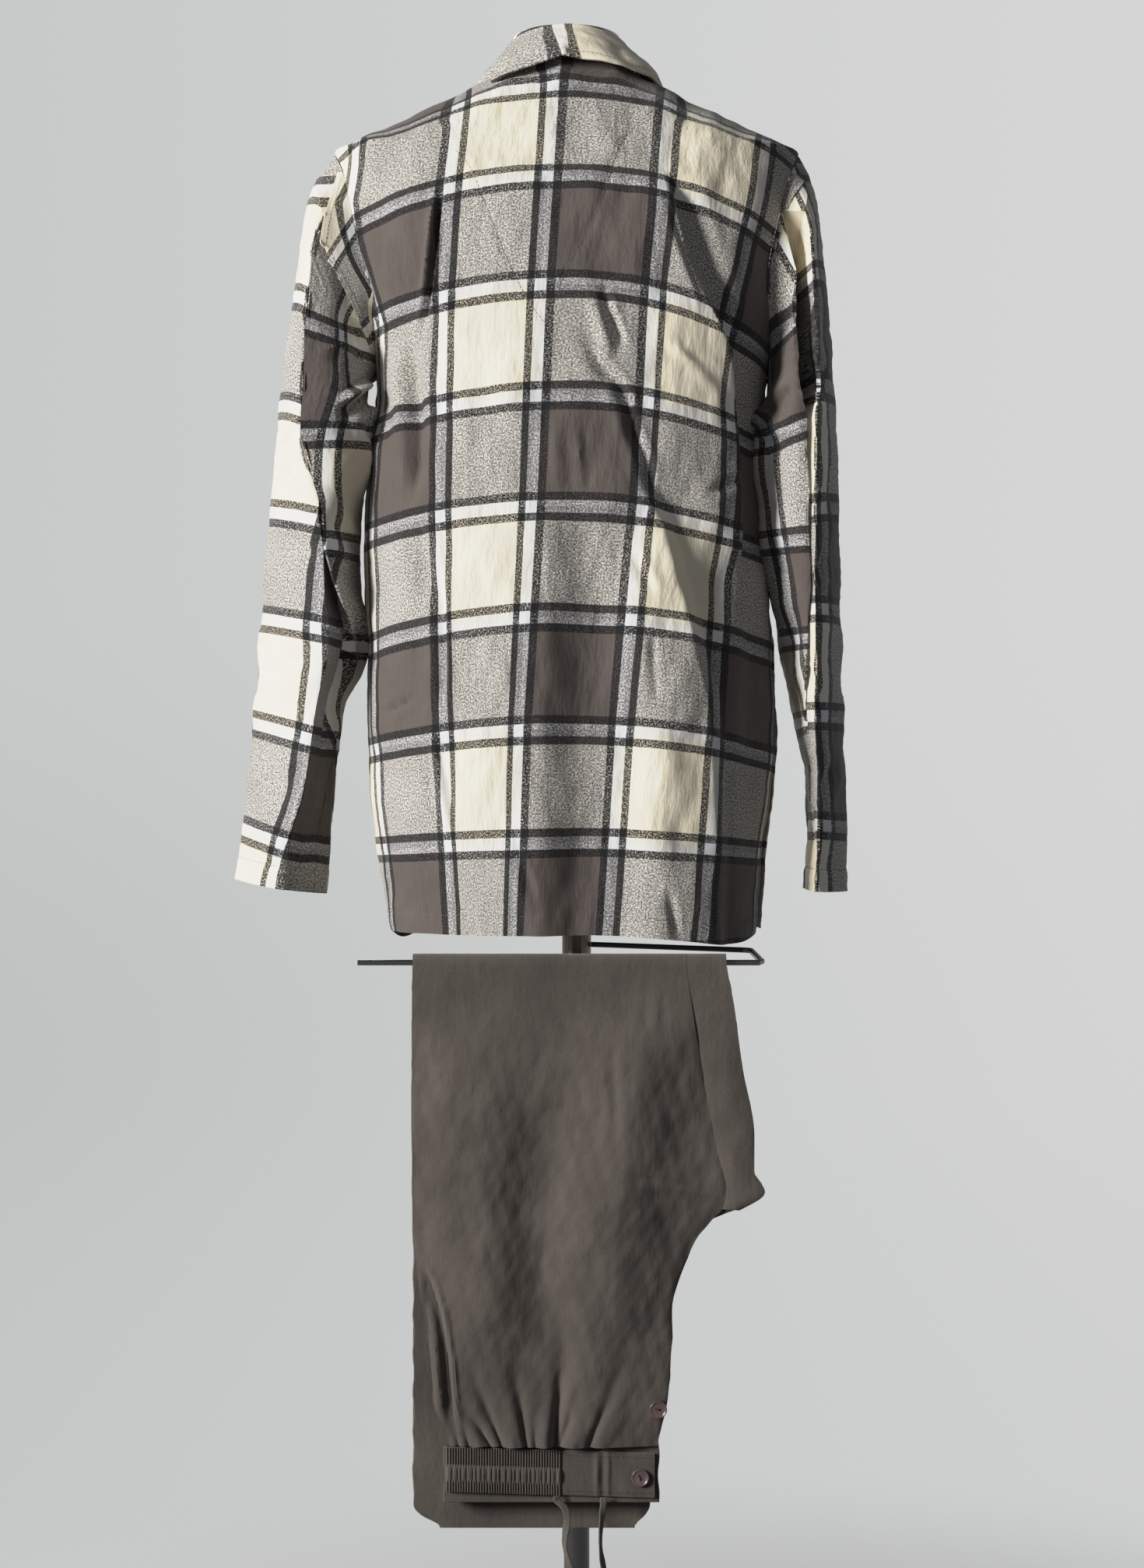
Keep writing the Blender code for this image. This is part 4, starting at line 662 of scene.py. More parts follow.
def tube_faces(rows, columns):
    """The faces of a closed tube of rings, and of its two ends."""
    faces = []
    for low in range(0, (rows - 1) * columns, columns):
        high = low + columns
        for c in range(columns):
            after = (c + 1) % columns
            faces.append((low + c, high + c, high + after, low + after))
    faces.append(tuple(range(columns)))
    faces.append(tuple((rows - 1) * columns + c for c in reversed(range(columns))))
    return faces


def add_rings(points, faces, places, side, other, radii, sides=6):
    """Adds a thin closed tube of rings to lists of points and faces."""
    first = len(points)
    for place, a, b, radius in zip(places, side, other, radii):
        for turn in np.arange(sides) * 2 * np.pi / sides:
            points.append(place + radius * (a * math.cos(turn) + b * math.sin(turn)))
    last = first + (len(places) - 1) * sides
    for low in range(first, last, sides):
        high = low + sides
        for k in range(sides):
            after = (k + 1) % sides
            faces.append((low + k, low + after, high + after, high + k))
    faces.append(tuple(first + k for k in reversed(range(sides))))
    faces.append(tuple(last + k for k in range(sides)))


def lathe(name, profile, centre, sides, sharp_angle=30):
    """A solid of revolution about a vertical axis, its profile running from the axis to the axis."""
    x, y = centre
    points = [(x, y, profile[0][1])]
    for radius, height in profile[1:-1]:
        for turn in np.arange(sides) * 2 * np.pi / sides:
            points.append((x + radius * math.cos(turn), y + radius * math.sin(turn), height))
    points.append((x, y, profile[-1][1]))
    faces = []
    top = 1 + (len(profile) - 3) * sides
    for k in range(sides):
        after = (k + 1) % sides
        faces.append((0, 1 + after, 1 + k))
        for low in range(1, top, sides):
            high = low + sides
            faces.append((low + k, low + after, high + after, high + k))
        faces.append((top + k, top + after, len(points) - 1))
    return make_mesh(name, points, faces, sharp_angle=sharp_angle)


def dress(piece, material, slot, *nodes):
    """Gives a piece its material and its place in the part."""
    piece.data.materials.append(material)
    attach(piece, "root")
    if nodes:
        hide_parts(*nodes)
    return piece


# ---------------------------------------------------------------- materials

class Shading:
    """A material's nodes, with short ways to add them."""

    def __init__(self, name):
        self.material = bpy.data.materials.new(name)
        self.material.use_nodes = True
        self.tree = self.material.node_tree
        self.shader = self.tree.nodes["Principled BSDF"]

    def node(self, kind, **settings):
        made = self.tree.nodes.new(kind)
        for key, value in settings.items():
            setattr(made, key, value)
        return made

    def put(self, socket, value):
        if isinstance(value, bpy.types.NodeSocket):
            self.tree.links.new(value, socket)
        else:
            socket.default_value = value

    def feed(self, made, values):
        """Fills a node's inputs, by their names or their numbers, and gives its outputs."""
        for key, value in values.items():
            self.put(made.inputs[key], value)
        return made.outputs

    def math(self, operation, a, b=0.0, c=0.0):
        made = self.node("ShaderNodeMath", operation=operation)
        return self.feed(made, {0: a, 1: b, 2: c})[0]

    def ramp(self, value, low, high, to_low=0.0, to_high=1.0):
        made = self.node("ShaderNodeMapRange", interpolation_type="SMOOTHSTEP")
        return self.feed(made, {0: value, 1: low, 2: high, 3: to_low, 4: to_high})[0]

    def mix(self, share, a, b, blend="MIX"):
        made = self.node("ShaderNodeMix", data_type="RGBA", blend_type=blend)
        return self.feed(made, {0: share, 6: a, 7: b})[2]

    def noise(self, vector, scale, detail=3.0, roughness=0.55):
        made = self.node("ShaderNodeTexNoise")
        values = {"Vector": vector, "Scale": scale, "Detail": detail, "Roughness": roughness}
        return self.feed(made, values)["Fac"]

    def stretched(self, vector, scale):
        return self.feed(self.node("ShaderNodeMapping"), {"Vector": vector, "Scale": scale})[0]

    def bump(self, height, distance, strength=1.0, normal=None):
        made = self.node("ShaderNodeBump")
        if normal is not None:
            self.put(made.inputs["Normal"], normal)
        return self.feed(made, {"Height": height, "Distance": distance, "Strength": strength})[0]

    def split(self, vector):
        return self.feed(self.node("ShaderNodeSeparateXYZ"), {0: vector})

    def twill(self, a, b, turns):
        """Slanting lines across two coordinates."""
        return self.math("SINE", self.math("MULTIPLY", self.math("ADD", a, b), turns))

    def mottle(self, colour, spread, value, low, high):
        """A colour that goes from darker to lighter by its spread as a value rises."""
        dark, light = (tuple(part * tone for part in colour) + (1.0,) for tone in (1 - spread, 1 + spread))
        return self.mix(self.ramp(value, low, high), dark, light)

    def rumple(self, vector, scale, depth, threads, thread_depth):
        """Soft crumples of the cloth, with its threads on them."""
        crumple = self.noise(self.stretched(vector, scale), 1.0, 3.0, 0.6)
        self.set(normal=self.bump(threads, thread_depth, 0.8, self.bump(crumple, depth)))

    def set(self, **values):
        for key, value in values.items():
            self.put(self.shader.inputs[key.replace("_", " ").title().replace("Ior", "IOR")], value)


TAUPE = (0.121, 0.101, 0.092, 1.0)
CREAM = (0.930, 0.845, 0.660, 1.0)
BLACK = (0.017, 0.016, 0.019, 1.0)
WHITE = (0.790, 0.805, 0.815, 1.0)
TWILL = 0.00125             # from one slanting line of the twill to the next
JERSEY_TWILL = 0.0011
SPECKLE = 0.0015            # the size of the nap's tufts
FRAY_SIZE = 0.0011
FRAY = 0.0012               # how far the nap pulls a stripe's edge aside
STRIPE_EDGE = 0.0004
TWILL_LIFT = 0.16           # how much the twill's lines decide which threads lie on top
NAP_LIFT = 3.0              # and how much the nap does
COVER_LIFT = 0.62           # and the threads' cover
BLACK_COVER = 0.40          # how much more of the face a black thread takes than a ground one
WHITE_COVER = -0.16
CREAM_COVER = -0.14         # the cream threads lie under the taupe ones for the most part
MARL_GREY = 0.55            # how much colour is lost where taupe threads cross cream ones


def check_thread(shading, coordinate, fray):
    """The colour of the threads at a check coordinate, and how much of the face they take."""
    calc = shading.math
    place = calc("ADD", coordinate, fray)
    off = calc("ABSOLUTE", calc("SUBTRACT", place, calc("ROUND", place)))
    edge = STRIPE_EDGE / PITCH
    in_group, in_white = (
        shading.ramp(off, half / PITCH + edge, half / PITCH - edge) for half in (GROUP_HALF, WHITE_HALF)
    )
    far = calc("ADD", calc("FLOOR", place), 100.0)
    cream = calc("MODULO", far, 2.0)
    ground = shading.mix(cream, TAUPE, CREAM)
    cover = calc("MULTIPLY", cream, CREAM_COVER)
    cover = calc("MULTIPLY_ADD", in_group, BLACK_COVER, cover)
    cover = calc("MULTIPLY_ADD", in_white, WHITE_COVER - BLACK_COVER, cover)
    return shading.mix(in_white, shading.mix(in_group, ground, BLACK), WHITE), cover, cream


def flannel_material():
    """A brushed twill in a large check. The lengthways threads and the crossways ones take turns on
    top along slanting lines, and the nap blurs them."""
    shading = Shading("plaid_flannel")
    calc = shading.math
    uv = shading.node("ShaderNodeUVMap", uv_map="cloth").outputs[0]
    u, v, _ = shading.split(uv)
    grain = shading.noise(uv, PITCH / FRAY_SIZE, 2.0)
    fray = calc("MULTIPLY", calc("SUBTRACT", grain, 0.5), FRAY / PITCH)
    warp, warp_cover, warp_cream = check_thread(shading, u, fray)
    weft, weft_cover, weft_cream = check_thread(shading, v, fray)
    wave = shading.twill(u, v, 2 * math.pi * PITCH / TWILL)
    speckle = shading.noise(uv, PITCH / SPECKLE, 3.0, 0.75)
    over = calc("MULTIPLY_ADD", wave, TWILL_LIFT, 0.5)
    over = calc("ADD", over, calc("MULTIPLY", calc("SUBTRACT", speckle, 0.5), NAP_LIFT))
    over = calc("MULTIPLY_ADD", calc("SUBTRACT", weft_cover, warp_cover), COVER_LIFT, over)
    colour = shading.mix(shading.ramp(over, 0.18, 0.82), warp, weft)
    mixed = calc("ABSOLUTE", calc("SUBTRACT", warp_cream, weft_cream))
    greyer = shading.node("ShaderNodeHueSaturation")
    saturation = calc("MULTIPLY_ADD", mixed, -MARL_GREY, 1.0)
    marled = shading.feed(greyer, {"Saturation": saturation, "Color": colour})[0]
    shade = shading.ramp(shading.noise(uv, 1.6, 3.0), 0.3, 0.7, 0.92, 1.04)
    grey = shading.feed(shading.node("ShaderNodeCombineColor"), {0: shade, 1: shade, 2: shade})[0]
    toned = shading.mix(1.0, marled, grey, "MULTIPLY")
    shading.set(base_color=toned, roughness=0.92, specular_ior_level=0.15)
    shading.set(sheen_weight=0.18, sheen_roughness=0.45, sheen_tint=(0.9, 0.88, 0.84, 1.0))
    threads = calc("ADD", calc("MULTIPLY", wave, 0.4), speckle)
    shading.rumple(uv, (9.0, 3.5, 1.0), 0.0022, threads, 0.00022)
    return shading.material


def jersey_material(name, colour, nap=0.35):
    """A brushed plain cloth with a fine slanting weave."""
    shading = Shading(name)
    calc = shading.math
    place = shading.node("ShaderNodeTexCoord").outputs["Object"]
    x, _, z = shading.split(place)
    wave = shading.twill(x, z, 2 * math.pi / JERSEY_TWILL)
    fibres = shading.noise(place, 1400.0, 3.0, 0.7)
    cloudy = shading.noise(place, 11.0, 4.0)
    mixed = calc("ADD", calc("MULTIPLY", fibres, 0.5), calc("MULTIPLY", cloudy, 0.5))
    shading.set(base_color=shading.mottle(colour, 0.28, mixed, 0.35, 0.65))
    shading.set(roughness=0.95, specular_ior_level=0.1)
    shading.set(sheen_weight=nap, sheen_roughness=0.5, sheen_tint=(0.80, 0.76, 0.72, 1.0))
    threads = calc("ADD", calc("MULTIPLY", wave, 0.35), fibres)
    shading.rumple(place, (60.0, 60.0, 26.0), 0.0016, threads, 0.0002)
    return shading.material


def hard_material(name, colour, roughness, metallic=0.0, coat=0.0, scale=900.0, wear=0.15):
    """Moulded plastic or painted metal, with faint mottling and uneven gloss."""
    shading = Shading(name)
    place = shading.node("ShaderNodeTexCoord").outputs["Object"]
    broad = shading.noise(place, scale / 22, 3.0)
    shading.set(base_color=shading.mottle(colour, wear, broad, 0.3, 0.7))
    shading.set(roughness=shading.ramp(broad, 0.3, 0.7, roughness * 0.85, roughness * 1.2))
    shading.set(metallic=metallic, coat_weight=coat, coat_roughness=0.12)
    shading.set(normal=shading.bump(shading.noise(place, scale, 3.0), 0.00006, 0.5))
    return shading.material


FLANNEL = flannel_material()
JERSEY = jersey_material("taupe_jersey", (0.088, 0.075, 0.066))
TAPE = jersey_material("drawstring_tape", (0.115, 0.102, 0.090), 0.25)
LINEN = jersey_material("form_linen", (0.55, 0.50, 0.43), 0.1)
BUTTON = hard_material("plum_button", (0.095, 0.050, 0.050), 0.30, coat=0.3, scale=2500.0, wear=0.3)
CAP = hard_material("cap_gloss", (0.012, 0.012, 0.013), 0.10, coat=0.6)
STEEL_BLACK = hard_material("black_enamel", (0.016, 0.016, 0.018), 0.34, coat=0.25)
BRONZE = hard_material("hub_bronze", (0.125, 0.100, 0.085), 0.30, metallic=0.85, wear=0.1)
THREAD_DARK = jersey_material("dark_thread", (0.030, 0.027, 0.030), 0.1)
THREAD_TAUPE = jersey_material("taupe_thread", (0.150, 0.135, 0.120), 0.1)
THREAD_JERSEY = jersey_material("jersey_thread", (0.062, 0.053, 0.047), 0.1)


# ---------------------------------------------------------------- camera, then the cords

def build_camera():
    data = bpy.data.cameras.new("camera")
    data.sensor_fit = "AUTO"
    data.sensor_width = SENSOR
    data.lens = SENSOR * CAMERA_DISTANCE / FRAME_HEIGHT
    made = bpy.data.objects.new("camera", data)
    made.location = (CAMERA_X, -CAMERA_DISTANCE, CAMERA_Z)
    made.rotation_euler = (math.pi / 2, 0.0, 0.0)
    bpy.context.scene.collection.objects.link(made)
    bpy.context.scene.camera = made


def smooth_route(points, steps):
    """More points on a smooth curve through a route's own points."""
    route = np.array(points)
    route = np.concatenate([2 * route[:1] - route[1:2], route, 2 * route[-1:] - route[-2:-1]])
    made = []
    for a, b, c, d in zip(route, route[1:], route[2:], route[3:]):
        for step in range(steps):
            t = step / steps
            made.append(0.5 * (2 * b + (c - a) * t + (2 * a - 5 * b + 4 * c - d) * t ** 2
                               + (3 * b - a - 3 * c + d) * t ** 3))
    made.append(route[-2])
    return np.array(made)


TAPE_SIDES = 16
TAPE_HALF_DEPTH = 0.00085
TAPE_DENT = 0.35            # the share of its depth that the tape is thinner by along its middle
TAPE_DENT_WIDTH = 0.22
TAPE_WAVER = 0.06           # how much its width changes along it


def build_tape(name, points, turns):
    """A flat drawstring along its route. Turns holds how far it is twisted, in degrees, from its
    exit to its end."""
    route = smooth_route(points, 5)
    along = unit(np.gradient(route, axis=0))
    share = np.linspace(0, 1, len(route))
    twist = np.radians(np.interp(share, np.linspace(0, 1, len(turns)), turns))[:, None]
    near = np.array((0.0, -1.0, 0.0))
    front = unit(near - along * (along @ near)[:, None])
    side = np.cross(along, front)
    wide = side * np.cos(twist) + front * np.sin(twist)
    deep = front * np.cos(twist) - side * np.sin(twist)
    around = np.linspace(0, 2 * np.pi, TAPE_SIDES, endpoint=False)
    half = DRAWSTRING_WIDTH / 2 * (1 - TAPE_WAVER * np.cos(share * 61))
    ring_wide = half[:, None] * signed_power(np.cos(around), 0.6)
    middle_dent = 1 - TAPE_DENT * bell(np.cos(around), TAPE_DENT_WIDTH)
    ring_deep = TAPE_HALF_DEPTH * signed_power(np.sin(around), 0.7) * middle_dent
    grid = route[:, None] + wide[:, None] * ring_wide[..., None] + deep[:, None] * ring_deep[:, None]
    made = make_mesh(name + "_tape", grid.reshape(-1, 3), tube_faces(*grid.shape[:2]), sharp_angle=60)
    dress(made, TAPE, "trouser_jersey", name)


build_camera()
build_tape("drawstring_left", DRAWSTRING_LEFT, (20, 35, -15, -60, -20, 30, 15, -10, 25))
build_tape("drawstring_right", DRAWSTRING_RIGHT, (0, 20, 55, 70, 40, 20, 50, 60, 30))


# ---------------------------------------------------------------- the shirt's body

BACK_COLUMNS = 224
FRONT_COLUMNS = 84
YOKE_ROWS = 22
ARMHOLE_ROWS = 60
SKIRT_ROWS = 124
HEM_BAND = 0.017            # from the hem to its line of stitches
HEM_RAISE = 0.0005          # the hem is two layers of cloth
HEM_STEP = 0.0008
HEM_PUCKER = 0.00022
HEM_PUCKER_WIDTH = 0.007
HEM_PUCKER_TURNS = 300      # in radians, from the one side of a panel to the other
STITCH_SINK = 0.0006        # how far a line of stitches draws the cloth in
STITCH_SINK_WIDTH = 0.0012
FRONT_CHECK_START = 0.30    # from a front's edge back to the nearest stripe group, in pitches
PLACKET_STITCH = 0.0030     # from the placket's edge to its stitches
PLACKET_SINK = 0.0008       # how far those stitches draw the cloth in
PLACKET_SINK_WIDTH = 0.0011
LEVEL_SLOPE = 0.40          # a yoke whose rise is a smaller share than this counts as level
SLOPE_CHANGE = 0.30
STRETCH_Z = (1.390, 1.430)  # the back's cloth turns away from the picture past its edges, below here
STRETCH = (1.4, 1.0)
SIDE_CORNER = 0.8           # the back's lower corners turn in from here
ARMHOLE = slice(YOKE_ROWS, YOKE_ROWS + ARMHOLE_ROWS + 1)     # the rows of a panel beside it


def section(z, angle, inset=(0.0, 0.0, 0.0)):
    """Places on the shirt's section. The angle is 0 at the centre back, a quarter turn at the right
    side and half a turn at the centre front."""
    left = read_curve(BODY, "z", "left", z)
    right = read_curve(BODY, "z", "right", z)
    toward = np.cos(angle)
    back = read_curve(BODY, "z", "back", z) - inset[1]
    front = read_curve(BODY, "z", "front", z) - inset[2]
    depth = np.where(toward > 0, back, front)
    x = (left + right) / 2 + ((right - left) / 2 - inset[0]) * signed_power(np.sin(angle), SECTION_POWER)
    y = -depth * signed_power(toward, SECTION_POWER)
    return np.stack(np.broadcast_arrays(x, y, z), -1)


def neck(angle):
    toward = np.cos(angle)
    depth = np.where(toward > 0, NECK_BACK, NECK_FRONT)
    rise = np.where(toward > 0, NECK_BACK_RISE, NECK_FRONT_DROP)
    x = NECK_X + NECK_HALF_WIDTH * np.sin(angle)
    return np.stack([x, -depth * toward, NECK_SIDE_Z + rise * toward], -1)


def yoke(angle, up):
    low = section(np.full(angle.shape, SHOULDER_Z), angle)
    high = neck(angle)
    point = low + (high - low) * up
    proud = YOKE_FULLNESS * math.sin(math.pi * up) * np.abs(np.cos(angle))
    point[..., 1] -= np.sign(np.cos(angle)) * proud
    return point


def hem_height(across):
    return HEM_Z - HEM_DIP * bell(across - HEM_DIP_AT, HEM_DIP_WIDTH)


def body_grid(share, back, angle_at):
    """A panel's smooth surface, from the neck to the hem. angle_at(share, widest) is the angle of the
    columns where the panel ends at the angle widest."""
    rows = []
    for up in np.linspace(1, 0, YOKE_ROWS, endpoint=False):
        rows.append(yoke(angle_at(share, np.pi / 2), up))
    for turn in np.linspace(0, np.pi, ARMHOLE_ROWS, endpoint=False):
        z = UNDERARM_Z + (SHOULDER_Z - UNDERARM_Z) * (1 + math.cos(turn)) / 2
        half_depth = (ARMHOLE_BACK if back else ARMHOLE_FRONT) * math.sin(turn)
        depth = read_curve(BODY, "z", "back" if back else "front", z)
        widest = np.arccos((half_depth / depth) ** (1 / SECTION_POWER))
        rows.append(section(np.full(share.shape, z), angle_at(share, widest)))
    for down in np.linspace(0, 1, SKIRT_ROWS + 1):
        z = UNDERARM_Z + (hem_height(share) - UNDERARM_Z) * down
        rows.append(section(z, angle_at(share, np.pi / 2)))
    return np.array(rows)


def body_row_coordinate(points):
    """The check's crossways coordinate on the shirt's body."""
    x, z = points[..., 0], points[..., 2]
    left = read_curve(BODY, "z", "left", z)
    right = read_curve(BODY, "z", "right", z)
    share = np.clip((x - (left + right) / 2) / ((right - left) / 2), -1.3, 1.3)
    lines = []
    for row in BODY_ROWS:
        drop = np.where(share < 0, row.drop_left, row.drop_right)
        lines.append(row.z - drop * share ** 2)
    return between_lines(z, lines, [row.number for row in BODY_ROWS])


def between_lines(z, lines, numbers):
    """The coordinate at a height, between lines whose heights differ from place to place."""
    result = np.full(z.shape, float(numbers[0]))
    for high, low, number in zip(lines, lines[1:], numbers):
        share = (high - z) / (high - low)
        result = np.where(share >= 0, number + share, result)
    return result


def line_stretch(z):
    """The cloth in a metre across the picture, beyond the panel's edge."""
    return float(np.interp(z, STRETCH_Z, STRETCH))


def back_line_coordinate(points):
    """The check's lengthways coordinate on the back: fixed along the lines of the table, and by the
    way along the cloth beyond them."""
    result = np.zeros(points.shape[:2])
    numbers = [row.number for row in BACK_LINES]
    for r, row in enumerate(points):
        z = row[:, 2].mean()
        along = way_along(row)
        places = []
        for group in BACK_LINES:
            line_x, line_z = group.line[::-1].T
            x = np.interp(z, line_z, line_x)
            outside = max(0.0, x - row[-1, 0]) - max(0.0, row[0, 0] - x)
            places.append(float(np.interp(x, row[:, 0], along)) + outside * line_stretch(z))
        inside = np.interp(along, places, numbers)
        before = np.minimum(0.0, along - places[0]) / PITCH
        beyond = np.maximum(0.0, along - places[-1]) / PITCH
        result[r] = inside + before + beyond
    return result


def hem_detail(grid, share):
    """The hem's second layer, and its small puckers along the stitches."""
    edge = hem_height(share)[None, :]
    up = grid[..., 2] - edge
    band = smooth_step((HEM_BAND - up) / HEM_STEP)
    pucker = np.sin(share * HEM_PUCKER_TURNS)[None, :] * bell(up - HEM_BAND, HEM_PUCKER_WIDTH)
    sunk = bell(up - HEM_BAND, STITCH_SINK_WIDTH)
    return HEM_RAISE * band - STITCH_SINK * sunk + HEM_PUCKER * pucker


def over_yoke(base, across):
    """The crossways coordinate over a yoke, by the cloth's own length where it lies nearly level."""
    result = across.copy()
    for row in range(YOKE_ROWS - 1, -1, -1):
        step = base[row] - base[row + 1]
        length = np.maximum(np.linalg.norm(step, axis=1), 1e-9)
        steep = smooth_step((np.abs(step[:, 2]) / length - LEVEL_SLOPE) / SLOPE_CHANGE)
        rise = steep * (across[row] - across[row + 1]) - (1 - steep) * length / PITCH
        result[row] = result[row + 1] + rise
    return result


def build_back():
    share = np.linspace(0, 1, BACK_COLUMNS + 1)

    def angle_at(part, widest):
        return widest * (2 * part - 1)

    base = body_grid(share, True, angle_at)
    uv = np.stack([back_line_coordinate(base), over_yoke(base, body_row_coordinate(base))], -1)
    x, z = base[..., 0], base[..., 2]
    inward = relief(BACK_CREASES, x, z) + relief(SEAM_CREASES, x, z) + ledge_relief(BACK_LEDGES, x, z)
    inward += unevenness(x, z, BODY_WAVES, 3)
    grid = base + grid_normals(base) * (hem_detail(base, share) - inward)[..., None]
    below = smooth_step((VENT_TOP - z) / (VENT_TOP - HEM_Z))
    side = np.abs(2 * share - 1)[None, :]
    grid[..., 1] -= SEAM_GAP / 2 + VENT_CURL * below * smooth_step((side - SIDE_CORNER) / (1 - SIDE_CORNER))
    dress(shell("shirt_back_cloth", grid, SHIRT_CLOTH, uv), FLANNEL, "shirt_flannel", "shirt_back")
    return grid, uv


def build_front(side):
    """One front, from its side seam to its edge past the centre. Side is -1 for the wearer's left."""
    share = np.linspace(0, 1, FRONT_COLUMNS + 1)
    past = math.asin((FRONT_LAP / FRONT_HALF_WIDTH) ** (1 / SECTION_POWER))

    def angle_at(part, widest):
        inner = part if side > 0 else 1 - part
        return side * (math.pi - widest + (widest + past) * inner)

    base = body_grid(share, False, angle_at)
    along = way_along(base, axis=1)
    if side > 0:
        along = along - along[:, -1:]
    u = along / PITCH + FRONT_CHECK_START * side
    uv = np.stack([u, over_yoke(base, body_row_coordinate(base))], -1)
    x, z = base[..., 0], base[..., 2]
    from_edge = np.abs(along)
    placket = -PLACKET_SINK * bell(from_edge - PLACKET_STITCH, PLACKET_SINK_WIDTH)
    inward = relief(FRONT_CREASES, x, z) + unevenness(x, z, BODY_WAVES, 5)
    out = hem_detail(base, share) + placket - inward
    grid = base + grid_normals(base) * out[..., None]
    grid[..., 1] += SEAM_GAP / 2
    if side < 0:
        grid[..., 1] += LAP_STEP * smooth_step((grid[..., 0] + LAP_RAMP) / (LAP_RAMP - LAP_FLAT))
    name = "shirt_front_left" if side < 0 else "shirt_front_right"
    dress(shell(name + "_cloth", grid, SHIRT_CLOTH, uv), FLANNEL, "shirt_flannel", name)
    return grid


# The two slanting topstitched lines on the back, which meet in a point.
SEAM_LEFT = table(":", """
    -106 1466.5  -93 1450  -77 1411  -61 1369  -43 1332  -26.5 1309
""")[0].line
SEAM_RIGHT = table(":", """
    66 1502  40 1474  26 1433  12.5 1396  -8 1359  -26.5 1309
""")[0].line
SEAM_CREASES = (
    Crease(0.0, 0.0022, 0.0006, SEAM_LEFT),
    Crease(0.0, 0.0022, 0.0010, SEAM_RIGHT),
)

back_grid, BACK_CHECK = build_back()
front_left_grid = build_front(-1)
front_right_grid = build_front(1)


# ---------------------------------------------------------------- sleeves

SLEEVE_POWER = 1.45         # 1 is an ellipse, 2 a diamond with sharp creases
UNDER_POWER = 1.15
VALLEY_POWER = 0.65
OUTER_COLUMNS = 30
VALLEY_COLUMNS = 12
RISER_COLUMNS = 4
FLAP_COLUMNS = 30
UNDER_COLUMNS = 44
CAP_ROWS = 6
SLEEVE_ROWS = 210
CUFF_BAND = 0.020
METRES_AROUND = 0.00075     # of cloth for each degree round a sleeve
DENT_SKEW = 0.2
# An inner flap whose power is lower than the sleeve's by this much shows its cloth at its own length:
# one across which the check coordinate rises, and one across which it falls.
FULL_FLAP_RISING = 0.7
FULL_FLAP_FALLING = 0.6
# Dents that run across a sleeve, from one way round it in degrees to another.
LEFT_DENTS = table("around1 around2: z1 z2 width depth", """
    113 172 1246 1277 4.5 -6.5
    111 170 1238 1262 5 10
    92 125 1290 1302 3.5 -2.2
    128 165 1296 1284 4 4
    150 158 1255 1215 5 6
    30 84 1205 1232 5 3
    40 80 1140 1110 5 3
    110 165 1150 1120 7 4
    20 70 965 900 6 3
    30 60 1010 1030 6 2.5
    200 300 1260 1180 10 6
    220 310 1100 1030 10 6
    230 300 980 930 10 4
    120 160 1330 1300 6 3
    45 60 1390 1330 6 3
""")
RIGHT_DENTS = table("around1 around2: z1 z2 width depth", """
    105 150 1262 1240 7 6
    110 160 1215 1245 6 -4
    60 88 1120 1090 6 4
    70 90 1160 1175 5 -3
    60 88 1000 980 6 3
    40 88 940 900 6 2.5
    200 300 1260 1180 10 6
    220 310 1100 1030 10 6
    230 300 980 930 10 4
""")


def sleeve_turns():
    """The way round a sleeve of each column, in degrees from its outer edge by way of the back."""
    outer = np.linspace(0, 90, OUTER_COLUMNS, endpoint=False)
    under = np.linspace(180, 360, UNDER_COLUMNS, endpoint=False)
    flap = np.linspace(90, 180, FLAP_COLUMNS, endpoint=False)
    return np.concatenate([outer, np.full(VALLEY_COLUMNS + RISER_COLUMNS, 90.0), flap, under])


